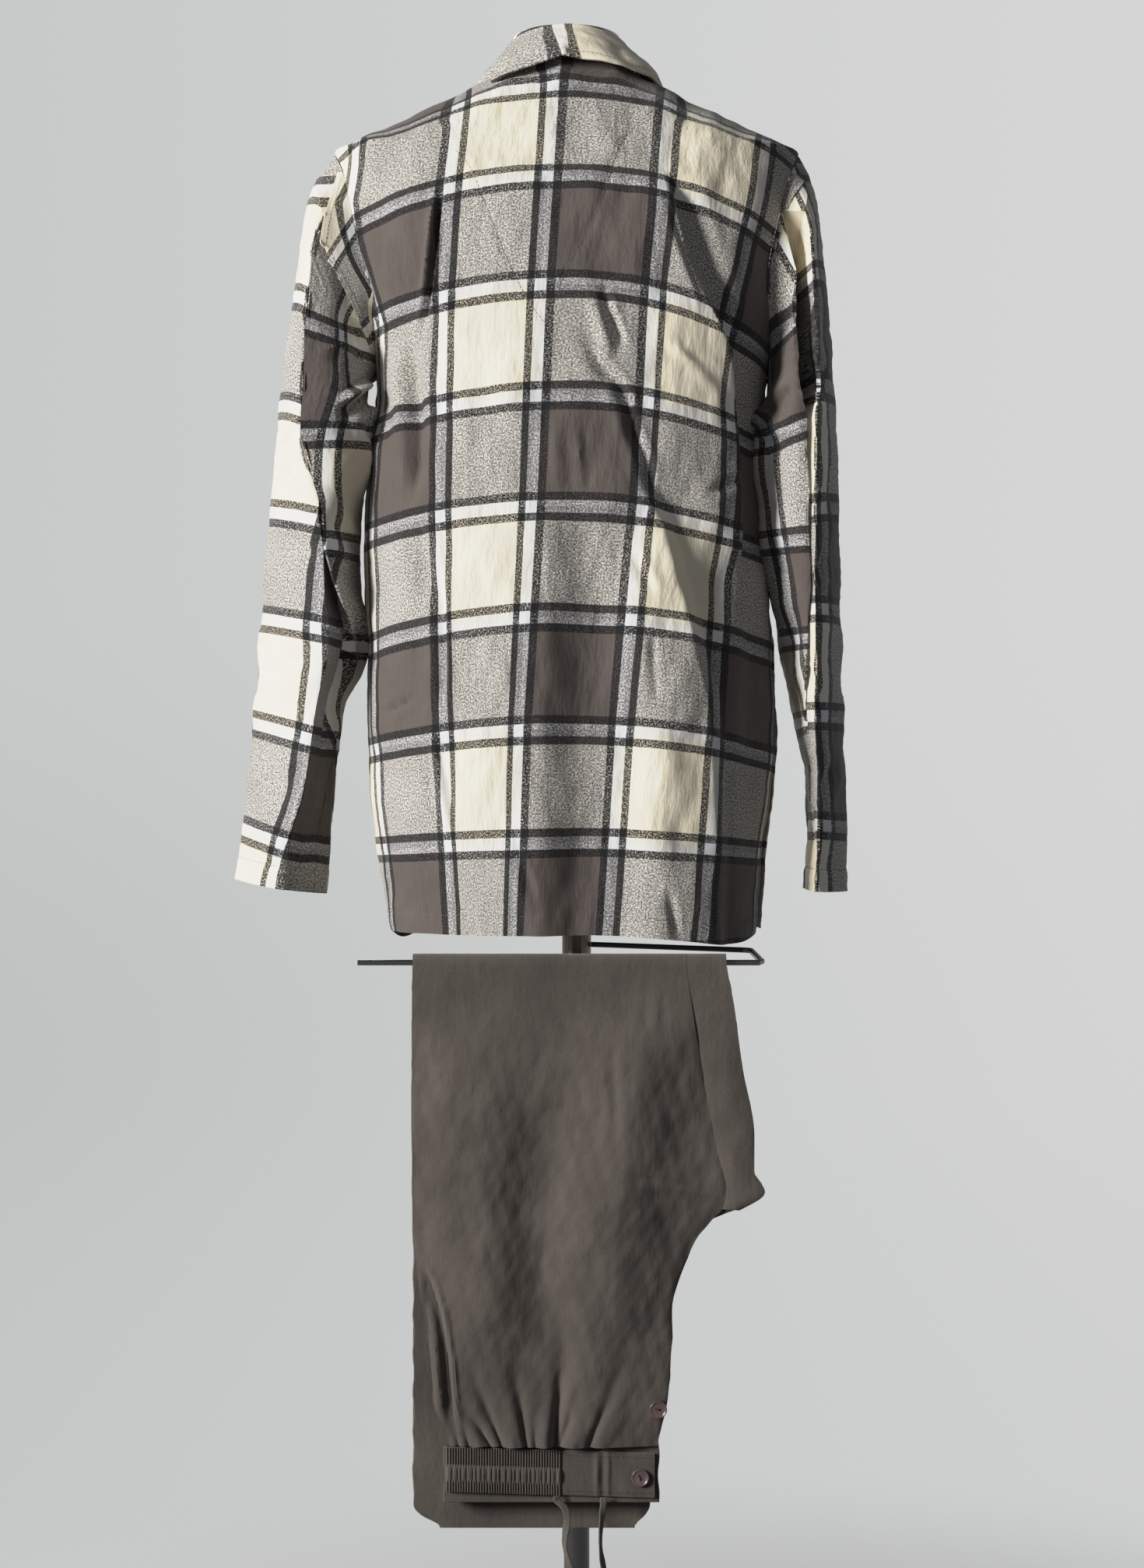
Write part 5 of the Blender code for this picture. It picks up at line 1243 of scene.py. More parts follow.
def sleeve_ring(step, rows, look, leans):
    """One ring of a sleeve, its columns' shares of the way across, and the check's lengthways
    coordinate of the cloth after and before each column."""
    row = read_row(rows, "step", step)
    outer = np.array([row.outer_x, 0.0, row.outer_z])
    inner = np.array([row.inner_x, 0.0, row.inner_z])
    leaned = read_row(leans, "z", inner[2])
    roll = leaned.roll / abs(inner[0] - outer[0])
    inner[0] -= math.copysign(leaned.lean, inner[0])
    z = (outer[2] + inner[2]) / 2
    for _ in range(12):
        z = 0.5 * z + 0.5 * (outer[2] + (inner[2] - outer[2]) * read_curve(look, "z", "crease", z))
    at = read_row(look, "z", z)

    quarter = np.radians(np.linspace(0, 90, OUTER_COLUMNS, endpoint=False))
    valley = np.linspace(0, 1, VALLEY_COLUMNS, endpoint=False)
    riser = np.linspace(0, 1, RISER_COLUMNS, endpoint=False)
    flap = np.radians(np.linspace(0, 90, FLAP_COLUMNS, endpoint=False))
    under = np.radians(np.linspace(180, 360, UNDER_COLUMNS, endpoint=False))
    rolled = roll * bell(np.degrees(flap) - ROLL_AT, ROLL_SPREAD)
    share = np.concatenate([
        at.crease * (1 - np.cos(quarter) ** SLEEVE_POWER),
        at.crease + (at.valley - at.crease) * valley,
        at.valley + (at.flap - at.valley) * riser,
        at.flap + (1 - at.flap) * np.sin(flap) ** leaned.power + rolled,
        0.5 + 0.5 * signed_power(-np.cos(under), UNDER_POWER),
    ])
    depth = np.concatenate([
        row.back * np.sin(quarter) ** SLEEVE_POWER,
        row.back * (1 + (at.valley_depth - 1) * valley ** VALLEY_POWER),
        row.back * (at.valley_depth + (at.flap_depth - at.valley_depth) * riser),
        row.back * at.flap_depth * np.cos(flap) ** leaned.power,
        -row.front * np.abs(np.sin(under)) ** UNDER_POWER,
    ])
    ring = outer + (inner - outer) * share[:, None]
    ring[:, 1] = -depth

    along = way_along(np.concatenate([ring, ring[:1]]))
    ends = np.cumsum([0, OUTER_COLUMNS, VALLEY_COLUMNS, RISER_COLUMNS, FLAP_COLUMNS, UNDER_COLUMNS])
    lengths = np.diff(along[ends])
    c_inner = at.c_inner
    if c_inner != at.c_flap:
        way, fullest = (1, FULL_FLAP_RISING) if c_inner > at.c_flap else (-1, FULL_FLAP_FALLING)
        natural = min(1.0, (SLEEVE_POWER - leaned.power) / fullest)
        c_inner += natural * (at.c_flap + way * lengths[3] / PITCH - c_inner)
    rise = lengths[2] / lengths[3] * (c_inner - at.c_flap)
    around = math.copysign(lengths[4] / PITCH, at.c_crease - at.c_outer)
    spans = (
        (at.c_outer, at.c_crease),
        (at.c_second, at.c_valley),
        (at.c_flap - rise, at.c_flap),
        (at.c_flap, c_inner),
        (at.c_outer - around, at.c_outer),
    )
    after = np.zeros(len(ring))
    before = np.zeros(len(ring))
    for first, last, length, (start, end) in zip(ends, ends[1:], lengths, spans):
        line = start + (end - start) * (along[first:last + 1] - along[first]) / max(length, 1e-9)
        after[first:last] = line[:-1]
        before[first + 1:last] = line[1:-1]
        before[last % len(ring)] = line[-1]
    return ring, share, after, before


# A lengthways group crosses the top of the right sleeve's inner flap on this line in x and z.
FLAP_LINE = ((0.1780, 1.3996), (0.1910, 1.3750))
FLAP_STRETCH = 1.15         # how much closer the groups lie there than their pitch
FLAP_CHART_LOW = 1.290
FLAP_CHART_HIGH = 1.345


def chart_right_flap(grid, column, after, before):
    """The lengthways coordinate on the upper right flap, measured from its own group's line."""
    (x0, z0), (x1, z1) = FLAP_LINE
    length = math.hypot(x1 - x0, z1 - z0)
    off = ((grid[..., 0] - x0) * (z0 - z1) + (grid[..., 2] - z0) * (x1 - x0)) / length
    charted = 1 + FLAP_STRETCH * off / PITCH
    share = smooth_step((grid[..., 2] - FLAP_CHART_LOW) / (FLAP_CHART_HIGH - FLAP_CHART_LOW))
    first = OUTER_COLUMNS + VALLEY_COLUMNS
    last = first + RISER_COLUMNS + FLAP_COLUMNS
    inside = (column >= first) & (column < last)
    until = (column > first) & (column <= last)
    after = np.where(inside, after + (charted - after) * share, after)
    before = np.where(until, before + (charted - before) * share, before)
    return after, before


RIGHT_CREASE_TURN = 66      # where the right sleeve's crease meets the armhole


def armhole_edge(back, front, left, turns):
    """The armhole's edge at the sleeve's columns."""
    back_edge = back[ARMHOLE, 0 if left else -1]
    front_edge = front[ARMHOLE, -1 if left else 0]
    own = np.linspace(0, 180, ARMHOLE_ROWS + 1)
    edge = np.zeros((len(turns), 3))
    met = turns if left else np.interp(turns, (0, 90, 180, 360), (0, RIGHT_CREASE_TURN, 180, 360))
    for axis in range(3):
        behind = np.interp(met, own, back_edge[:, axis])
        before = np.interp(360 - met, own, front_edge[:, axis])
        edge[:, axis] = np.where(turns <= 180, behind, before)
    return edge


def build_sleeve(name, rows, look, leans, check_rows, dents, edge):
    steps = np.linspace(0, len(rows) - 1, SLEEVE_ROWS)
    rings, *kept = zip(*(sleeve_ring(step, rows, look, leans) for step in steps))
    start = edge + unit(rings[0] - edge) * ARMHOLE_GAP
    cap = [start + (rings[0] - start) * part for part in np.linspace(0, 1, CAP_ROWS, endpoint=False)]
    grid = np.array(cap + list(rings))
    share, after, before = (np.array([own[0]] * CAP_ROWS + list(own)) for own in kept)
    turns = sleeve_turns()
    z = grid[..., 2]
    column = np.arange(grid.shape[1])[None, :]
    crease = read_curve(look, "z", "crease", z)
    flap = read_curve(look, "z", "flap", z)
    lines = []
    for row in check_rows:
        at_back = row.outer + (row.crease - row.outer) * share / crease
        at_flap = row.flap + (row.inner - row.flap) * (share - flap) / np.maximum(1 - flap, 0.05)
        at_flap = np.clip(at_flap, min(row.flap, row.inner), max(row.flap, row.inner))
        at_front = row.outer + (row.inner - row.outer) * share
        line = np.where(column < OUTER_COLUMNS + VALLEY_COLUMNS, at_back, at_flap)
        lines.append(np.where(turns >= 180, at_front, line))
    across = between_lines(z, lines, [row.number for row in check_rows])
    slope = np.gradient(after[CAP_ROWS])
    facet = np.where(np.abs(slope) > 0.2, 0.0, np.sign(slope))
    past = (grid[..., 0] - grid[CAP_ROWS, :, 0]) * -math.copysign(1.0, rows[0].outer_x) / PITCH
    past[CAP_ROWS:] = 0
    after = after + facet * past
    before = before + facet * past
    if rows[0].outer_x > 0:
        after, before = chart_right_flap(grid, column, after, before)
    uv = np.stack([after, across], -1)
    uv_after = np.stack([before, across], -1)
    way = turns * METRES_AROUND
    creases = []
    for dent in dents:
        ends = np.array(((dent.around1 * METRES_AROUND, dent.z1), (dent.around2 * METRES_AROUND, dent.z2)))
        creases.append(Crease(DENT_SKEW, dent.width, dent.depth, ends))
    inward = relief(creases, np.broadcast_to(way, z.shape), z)
    inward += unevenness(way[None, :], z, SLEEVE_WAVES, 11)
    inward = inward * smooth_step(np.arange(grid.shape[0]) / (CAP_ROWS * 3))[:, None]
    up = z - grid[-1, :, 2]
    inward -= HEM_RAISE * smooth_step((CUFF_BAND - up) / HEM_STEP)
    inward += STITCH_SINK * bell(up - CUFF_BAND, STITCH_SINK_WIDTH)
    if rows[0].outer_x > 0:
        order = np.concatenate([[0], np.arange(grid.shape[1] - 1, 0, -1)])
        grid, uv, uv_after, inward = grid[:, order], uv_after[:, order], uv[:, order], inward[:, order]
    grid = grid - grid_normals(grid, wrap=True) * inward[..., None]
    made = shell(name + "_cloth", grid, SHIRT_CLOTH, uv, wrap=True, uv_after=uv_after)
    dress(made, FLANNEL, "shirt_flannel", name)
    return grid


turns = sleeve_turns()
left_edge = armhole_edge(back_grid, front_left_grid, True, turns)
right_edge = armhole_edge(back_grid, front_right_grid, False, turns)
left_tables = (LEFT_SLEEVE, LEFT_LOOK, LEFT_LEAN, LEFT_ROWS, LEFT_DENTS)
right_tables = (RIGHT_SLEEVE, RIGHT_LOOK, RIGHT_LEAN, RIGHT_ROWS, RIGHT_DENTS)
sleeve_left_grid = build_sleeve("sleeve_left", *left_tables, left_edge)
sleeve_right_grid = build_sleeve("sleeve_right", *right_tables, right_edge)


# ---------------------------------------------------------------- dropped shoulders

# The armhole seams of the back in x and z, where its panel runs on over the sleeves.
LEFT_SHOULDER_SEAM = table(":", """
    -212.3 1457.8  -214.4 1446.3  -218.4 1426  -222.5 1402.2  -223.9 1390  -217.8 1375.1  -209.6 1361.5 \
        -197.4 1337.8  -187.3 1314.1  -181 1299
""")[0].line
RIGHT_SHOULDER_SEAM = table(":", """
    202.5 1456  201.2 1448.6  196.4 1441.8  190.2 1432.2  185.5 1424.1  181.4 1407.1  178 1399.6 \
        174.6 1386  168.5 1374.4  162.4 1357.4  159 1345.9
""")[0].line
SHOULDER_ROWS = 64
SHOULDER_COLUMNS = 20
SHOULDER_LIFT = 0.0016      # from the sleeve's outer face to the panel's over it
SHOULDER_LEAST = 0.0005     # the panel's least way past the back's edge
SHOULDER_EASING = 6         # rounds of smoothing
NEAR_SPOTS = 6              # of a surface, which give its depth at a place between them


def surface_depth(surface, x, z):
    """How far back a surface lies at places in x and z."""
    spots = surface.reshape(-1, 3)
    spots = spots[spots[:, 1] < -0.005]
    spots = spots[(spots[:, 2] > z.min() - 0.01) & (spots[:, 2] < z.max() + 0.01)]
    depth = np.zeros(x.shape)
    for index in np.ndindex(x.shape):
        apart = (spots[:, 0] - x[index]) ** 2 + (spots[:, 2] - z[index]) ** 2
        near = np.argpartition(apart, NEAR_SPOTS)[:NEAR_SPOTS]
        weight = 1 / (apart[near] + 1e-8)
        depth[index] = (spots[near, 1] * weight).sum() / weight.sum()
    return depth


def build_shoulder(name, seam, surface, side, turn_down):
    """The stretch of the back that lies over a sleeve's top, up to the armhole seam. Side is -1 for
    the wearer's left, and turn_down how steeply its check turns down from the body's."""
    column = 0 if side < 0 else -1
    edge = back_grid[ARMHOLE, column][::-1]
    seam = np.array(seam[::-1])
    z = np.linspace(seam[-1, 1], seam[0, 1], SHOULDER_ROWS)
    edge_x = np.interp(z, edge[:, 2], edge[:, 0]) + side * SEAM_GAP
    edge_y = np.interp(z, edge[:, 2], edge[:, 1])
    reach = np.maximum(side * (np.interp(z, seam[:, 1], seam[:, 0]) - edge_x), SHOULDER_LEAST)
    share = np.linspace(0, 1, SHOULDER_COLUMNS + 1)[None, :]
    x = edge_x[:, None] + side * reach[:, None] * share
    z = np.broadcast_to(z[:, None], x.shape)
    under = surface_depth(surface, x, z) - SHOULDER_LIFT
    seam_y = under[:, -1:]
    straight = edge_y[:, None] + (seam_y - edge_y[:, None]) * share
    held = (1 - share) ** 4
    drawn = np.minimum(straight, under * (1 - held) + edge_y[:, None] * held)
    y = np.where(share > 0, drawn, edge_y[:, None])
    for _ in range(SHOULDER_EASING):
        y[1:-1, 1:-1] = (y[:-2, 1:-1] + y[2:, 1:-1] + y[1:-1, :-2] + y[1:-1, 2:]) / 4
    grid = np.stack([x, y, z], -1)
    u_edge = np.interp(z[:, 0], edge[:, 2], BACK_CHECK[ARMHOLE, column, 0][::-1])
    past = x - edge_x[:, None]
    stretch = np.array([line_stretch(level) for level in z[:, 0]])[:, None]
    raised = grid + np.array((0.0, 0.0, turn_down)) * np.abs(past)[..., None]
    uv = np.stack([u_edge[:, None] + stretch * past / PITCH, body_row_coordinate(raised)], -1)
    if side < 0:
        grid, uv = grid[:, ::-1], uv[:, ::-1]
    dress(shell(name, grid, SHIRT_CLOTH, uv), FLANNEL, "shirt_flannel")
    return grid


left_shoulder_grid = build_shoulder("shirt_back_left_shoulder", LEFT_SHOULDER_SEAM,
                                    sleeve_left_grid, -1, 0.9)
right_shoulder_grid = build_shoulder("shirt_back_right_shoulder", RIGHT_SHOULDER_SEAM,
                                     sleeve_right_grid, 1, 0.3)


# ---------------------------------------------------------------- collar

COLLAR_STEPS = 132
COLLAR_ROLL_ROW = 12        # the row of places at the top of the roll
COLLAR_STITCH = 0.0070
COLLAR_SLANT = 0.0105       # how much lower the fall's free edge is on the wearer's left
COLLAR_SLANT_FULL = 55      # degrees from the centre back
COLLAR_SLANT_END = 150
COLLAR_SLANT_FADE = 60
COLLAR_TUCK = 1.33          # in thicknesses of the shirt's cloth, from the neck's seam inward
COLLAR_GROUP_AT = -9.0      # degrees from the centre back to a lengthways group on the roll
COLLAR_CHECK_SLANT = 0.16
COLLAR_CHECK_TOP = 1.25     # the crossways coordinate along the roll


def collar_section(degrees):
    """The collar's outer face, from its seam inside the neck, over the roll and down the fall."""
    row = read_row(COLLAR, "angle", abs(degrees))
    angle = math.radians(degrees)
    seam = neck(np.array([angle]))[0]
    radial = np.array([math.sin(angle), -math.cos(angle), 0.0])
    axis = np.array([NECK_X, 0.0, 0.0])
    up = np.array([0.0, 0.0, 1.0])
    seam_in = seam - radial * SHIRT_CLOTH * COLLAR_TUCK + up * SEAM_GAP * 2
    top = axis + radial * row.roll + up * row.roll_z
    slant = smooth_step(-degrees / COLLAR_SLANT_FULL)
    slant = slant * smooth_step((COLLAR_SLANT_END + degrees) / COLLAR_SLANT_FADE)
    lower = COLLAR_SLANT * float(slant)
    edge = axis + np.array([math.copysign(1.0, degrees) * row.edge_x, row.edge_y, row.edge_z - lower])
    out = unit((edge - top) * (1, 1, 0))
    stand_top = top - out * ROLL_RADIUS - up * ROLL_RADIUS
    fall_top = top + out * ROLL_RADIUS - up * ROLL_RADIUS
    places = [seam_in + (stand_top - seam_in) * share for share in np.linspace(0, 1, 9)]
    for turn in np.linspace(0, math.pi, 9)[1:-1]:
        places.append(top - out * math.cos(turn) * ROLL_RADIUS + up * (math.sin(turn) - 1) * ROLL_RADIUS)
    for share in np.linspace(0, 1, 20):
        places.append(fall_top + (edge - fall_top) * share + out * FALL_CURVE * math.sin(math.pi * share))
    return np.array(places)


def build_collar():
    last = COLLAR[-1].angle
    degrees = np.linspace(-last, last, COLLAR_STEPS + 1)
    grid = np.stack([collar_section(d) for d in degrees], axis=1)
    along = way_along(grid[COLLAR_ROLL_ROW])
    down = way_along(grid)
    fall = down - down[COLLAR_ROLL_ROW]
    group = np.interp(COLLAR_GROUP_AT, degrees, along)
    u = 1 + (along - group - COLLAR_CHECK_SLANT * fall) / PITCH
    v = COLLAR_CHECK_TOP + fall / PITCH
    share = np.arange(grid.shape[0])[:, None] / (grid.shape[0] - 1)
    out = unevenness(along[None, :] + 0 * fall, fall, COLLAR_WAVES, 21) * smooth_step((share - 0.45) / 0.2)
    from_edge = down[-1:] - down
    turned_in = smooth_step((COLLAR_STITCH - from_edge) / 0.001)
    out = out + HEM_RAISE * (turned_in - bell(from_edge - COLLAR_STITCH, 0.001))
    grid = grid + grid_normals(grid) * out[..., None]
    made = shell("shirt_collar_cloth", grid, COLLAR_CLOTH, np.stack([u, v], -1))
    dress(made, FLANNEL, "shirt_flannel", "shirt_collar")
    return grid


collar_grid = build_collar()


# ---------------------------------------------------------------- buttons

HOLE_RADIUS = 0.00095
HOLE_OFF = 0.0017           # from the button's middle to each hole's
THREAD_RADIUS = 0.00017


def button_mesh():
    """A dished button with two holes, its flat back at z = 0."""
    r = BUTTON_RADIUS
    h = BUTTON_HEIGHT
    profile = [(0.0, 0.0), (0.80 * r, 0.0), (0.90 * r, 0.06 * h)]
    for turn in np.linspace(-0.4 * np.pi, 0.75 * np.pi, 12):
        profile.append((0.90 * r + 0.10 * r * math.cos(turn), 0.62 * h + 0.38 * h * math.sin(turn)))
    profile += [(0.74 * r, 0.74 * h), (0.60 * r, 0.63 * h), (0.35 * r, 0.60 * h), (0.0, 0.60 * h)]
    made = lathe("button_blank", profile, (0.0, 0.0), 48)
    for side in (-1, 1):
        bore = [(0, -h), (HOLE_RADIUS, -h), (HOLE_RADIUS, 2 * h), (0, 2 * h)]
        hole = lathe("button_hole", bore, (0.0, side * HOLE_OFF), 20)
        cut = made.modifiers.new("hole", "BOOLEAN")
        cut.operation = "DIFFERENCE"
        cut.object = hole
        graph = bpy.context.evaluated_depsgraph_get()
        cut_mesh = bpy.data.meshes.new_from_object(made.evaluated_get(graph))
        made.modifiers.clear()
        made.data = cut_mesh
        bpy.data.objects.remove(hole, do_unlink=True)
    mesh = made.data
    mesh.shade_smooth()
    mesh.set_sharp_from_angle(angle=math.radians(35))
    bpy.data.objects.remove(made, do_unlink=True)
    return mesh


def thread_mesh():
    """The thread between a button's holes: a few turns lying side by side."""
    points = []
    faces = []
    for strand in (-0.00045, -0.00015, 0.00015, 0.00045):
        t = np.linspace(0, np.pi, 9)
        route = [np.full(9, strand), HOLE_OFF * np.cos(t), 0.0019 + 0.0006 * np.sin(t)]
        add_tube(points, faces, np.stack(route, -1), THREAD_RADIUS)
    made = make_mesh("button_thread", points, faces, sharp_angle=60)
    mesh = made.data
    bpy.data.objects.remove(made, do_unlink=True)
    return mesh


def add_tube(points, faces, route, radius):
    """Adds a thin closed tube along a route to lists of points and faces."""
    along = unit(np.gradient(route, axis=0))
    hint = np.array((0.31, 0.17, 0.93))
    if abs(along[0] @ hint) > 0.9:
        hint = np.array((1.0, 0.0, 0.0))
    side = unit(np.cross(along, hint))
    add_rings(points, faces, route, side, np.cross(along, side), [radius] * len(route))


def place_button(name, centre, outward, spin=0.0):
    turn = Vector((0, 0, 1)).rotation_difference(Vector(outward)).to_matrix().to_4x4()
    place = Matrix.Translation(Vector(centre)) @ turn @ Matrix.Rotation(math.radians(spin), 4, "Z")
    for suffix, mesh, material in (("", BUTTON_MESH, BUTTON), ("_thread", THREAD_MESH, THREAD_DARK)):
        made = bpy.data.objects.new(name + "_disc" + suffix, mesh.copy())
        made.data.transform(place)
        bpy.context.scene.collection.objects.link(made)
        dress(made, material, "buttons", *([] if suffix else [name]))


BUTTON_MESH = button_mesh()
THREAD_MESH = thread_mesh()


def build_shirt_buttons():
    for number, z in enumerate(SHIRT_BUTTONS, 1):
        above = section(np.array(z + BUTTON_RADIUS), np.array(math.pi))
        below = section(np.array(z - BUTTON_RADIUS), np.array(math.pi))
        slope = Vector(above - below).normalized()
        outward = slope.cross(Vector((1, 0, 0)))
        centre = Vector((above + below) / 2) + outward * BUTTON_LIFT
        centre.y += SEAM_GAP / 2 + LAP_STEP
        place_button(f"shirt_button_{number}", centre, outward, 12 * number)


build_shirt_buttons()


# ---------------------------------------------------------------- form and stand

FORM_COLUMNS = 96
FORM_ROWS = 46
FORM_SHOULDER = 1.462
FORM_SHOULDER_REST = 0.0016     # how much further in the form lies there
FORM_NECK = ((1.5695, 0.0455), (1.5630, 0.0478), (1.5560, 0.0500), (1.5510, 0.0530), (1.5460, 0.0570))


def build_form():
    """The linen-covered form: the shirt's sections moved in, and a neck."""
    count = FORM_COLUMNS
    angles = np.arange(count) * 2 * np.pi / count
    block = [yoke(angles, up) for up in (1.12, 1.0, 0.85, 0.7, 0.5, 0.3, 0.12, 0.0)]
    block = np.array(block + [section(np.full(count, FORM_SHOULDER), angles)])
    normals = grid_normals(block, wrap=True)
    rings = []
    for z, radius in FORM_NECK:
        ring = [NECK_X + radius * np.sin(angles), -radius * np.cos(angles), np.full(count, z)]
        rings.append(np.stack(ring, -1))
    rings += list((block - normals * FORM_REST)[1:-2])
    rings.append((block - normals * (FORM_REST + FORM_SHOULDER_REST))[-2])
    for z in np.linspace(FORM_SHOULDER, FORM_BOTTOM, FORM_ROWS):
        inset = [read_curve(FORM, "z", name, z) for name in ("side", "back", "front")]
        rings.append(section(np.full(count, z), angles, inset))
    made = make_mesh("dress_form_cover", np.concatenate(rings), tube_faces(len(rings), count))
    dress(made, LINEN, "form_cover", "dress_form")


CAP_ROUND = 0.0045          # the radius of the cap's upper edge


def build_cap():
    """The neck's black cap, with a bright line round its shoulder."""
    r = NECK_CAP_RADIUS
    low = CAP_BASE_Z
    high = NECK_CAP_TOP
    profile = [(0.0, low), (r - 0.003, low), (r - 0.0008, low + 0.0010)]
    profile += [(r, low + 0.0030), (r, high - 0.0050)]
    for turn in np.linspace(0, np.pi / 2, 8):
        profile.append((r + CAP_ROUND * (math.cos(turn) - 1), high + CAP_ROUND * (math.sin(turn) - 1)))
    profile += [(r - 0.020, high - 0.0003), (0.0, high - 0.0006)]
    dress(lathe("neck_cap_shell", profile, (NECK_X, 0.0), 96), CAP, "cap_black", "neck_cap")


def finish_metal():
    """The stand's own solids keep their shape and get their finishes."""
    for node in ("foot", "pole_lower", "pole_upper", "pole_lock", "trouser_rail", "rail_hub"):
        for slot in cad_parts[node].material_slots:
            slot.material = BRONZE if node == "rail_hub" else STEEL_BLACK


build_form()
build_cap()


# ---------------------------------------------------------------- trousers

LEG_COLUMNS = 132
NEAR_ROWS = 170
TURN_ROWS = 12
FAR_ROWS = 60
HEM_ROWS = 14
HEM_ROUND = 0.0200          # the rows lie closer over the hem's rounded corners
LEG_HEM_BAND = 0.0220
STRIP_ROWS = 70
STRIP_COLUMNS = 16
STRIP_WAVE = 0.0006
LEG_HEM_RAISE = 0.0004
LAYERS = 3
LAYER_ROWS = 110
LAYER_COLUMNS = 40
LAYER_PUFF = 0.0009         # how far each layer stands out past the grooves between them
LAYER_WAVE = 0.0007
BAND_ROWS = 30
PLAIN_COLUMNS = 80
RIB_COLUMNS = 8
SHIRR_ROWS = (0.38, 0.78)   # the sewn rows' places between the band's edges
SHIRR_ROW_WIDTH = 0.025
SHIRR_SINK = 0.0007
SHIRR_END_SINK = 0.0006
RIB_RISE = 0.0015
PUFF_BASE = 0.0012
PUFF_RISE = 0.0016
PLAIN_FOLDS = table(": x rise width", """
    17 1.6 2.2
    26.5 1.4 2
    21.8 -0.8 1.4
""")
CLOTH_UV = 10               # the plain cloth's texture coordinates a metre
TROUSER_LEDGES = table(": rise span width depth reach", """
    10.5 60 85 0 300  62 790  56 700  40 600  32 520  32 440
    6 50 60 0 300  -83 720  -80 560  -76 430
""")
TROUSER_CREASES = table("skew: width depth", """
    0.3 30 -3  -69 660  -66.7 560  -65 460  -62 362
    0 28 4  -32 650  -35 520  -32 430  -29 362
    0.3 30 -2  40 760  40 680  32 600  28 540  18 460  8 380
    0 34 3  98 760  98 680  92 600  78 540  68 460
    0 16 -3  -112 740  -113 640  -110 480
    0.4 4 6.8  -136.1 516.3  -124.2 496.4  -115.6 467.9  -109.6 431.5  -105.6 387.2  -99.7 354.7
    0 3.5 4.5  -130.2 496.4  -126.2 451.4  -122.2 387.2  -113.6 346.8
    0 3.5 2.4  47 768  49 745  48 720
    0 4 3  56 768  59 740  57 700
    0 4 2.6  70 768  73 740  74 705
    0.3 3.2 -1.6  40 583  85 574  120 566
    0 4 1.2  30 715  32 640  33 600
    0 12 2  -78 560  -58 553  -38 556
""")


def drape(x, along, height):
    """Places of the cloth over the bar. Along runs from the top of the fold, to -Y when negative."""
    radius = FOLD_RADIUS + height
    side = np.sign(along)
    angle = np.clip(along / FOLD_RADIUS, -math.pi / 2, math.pi / 2)
    down = np.maximum(0.0, np.abs(along) - FOLD_QUARTER)
    y = np.where(down > 0, RAIL_Y + side * radius, RAIL_Y + radius * np.sin(angle))
    z = np.where(down > 0, FOLD_Z - down, FOLD_Z + radius * np.cos(angle))
    return np.stack(np.broadcast_arrays(x, y, z), -1)


def drape_height(along):
    down = np.abs(along) - FOLD_QUARTER
    return np.where(down > 0, FOLD_Z - down, FOLD_Z + FOLD_RADIUS)


def along_at(z, near):
    along = FOLD_QUARTER + np.maximum(0.0, FOLD_Z - z)
    return -along if near else along


def drape_stations(near_z, far_z, near_rows, far_rows):
    near = np.linspace(along_at(near_z, True), -FOLD_QUARTER, near_rows, endpoint=False)
    turn = np.linspace(-FOLD_QUARTER, FOLD_QUARTER, TURN_ROWS, endpoint=False)
    end = along_at(far_z, False)
    far = np.linspace(FOLD_QUARTER, end - HEM_ROUND, far_rows, endpoint=False)
    last = np.linspace(end - HEM_ROUND, end, HEM_ROWS + 1)
    return np.concatenate([near, turn, far, last])


def side_at(along, name):
    z = drape_height(along)
    return np.where(along < 0, read_curve(NEAR_SIDE, "z", name, z), read_curve(FAR_SIDE, "z", name, z))


def hidden_thickness(along):
    near = read_curve(NEAR_THICKNESS, "along", "thickness", np.abs(along))
    far = read_curve(FAR_THICKNESS, "along", "thickness", np.abs(along))
    return np.where(along < 0, near, far)


def looseness(along):
    return smooth_step((np.abs(along) - PRESSED_ALONG) / (LOOSE_ALONG - PRESSED_ALONG))


# The gathers that spread up from the elastic: where each starts, where it dies away, and how deep and
# wide it is at the waistband. A ridge has a negative depth.
GATHERS = table(": x top_x top depth width", """
    -108.5 -118 400 4 2.6
    -100 -108 385 3 2
    -91.5 -101 392 3.6 2.2
    -83 -90.5 384 -2 2.6
    -73.1 -99.7 400 5.2 2.6
    -63.1 -95.7 440 5 2.6
    -54 -60 386 -2.5 3
    -42.6 -57.2 455 5.8 2.6
    -35 -37 390 3 2
    -27 -24 405 -2.6 3
    -18.8 -6.2 500 7.5 3.4
    -14 3.8 415 4 2.2
    -4 4 384 -2 3
    9.7 46.2 445 5 2.8
    20 33 385 -1.6 4
""")


def gather_relief(x, z):
    total = np.zeros(x.shape)
    for gather in GATHERS:
        up = np.clip((z - LEG_WAIST_Z) / (gather.top - LEG_WAIST_Z), 0, 1)
        middle = gather.x + (gather.top_x - gather.x) * up
        total += gather.depth * smooth_step(1 - up) * bell(x - middle, gather.width * (1 + 2.2 * up))
    return total


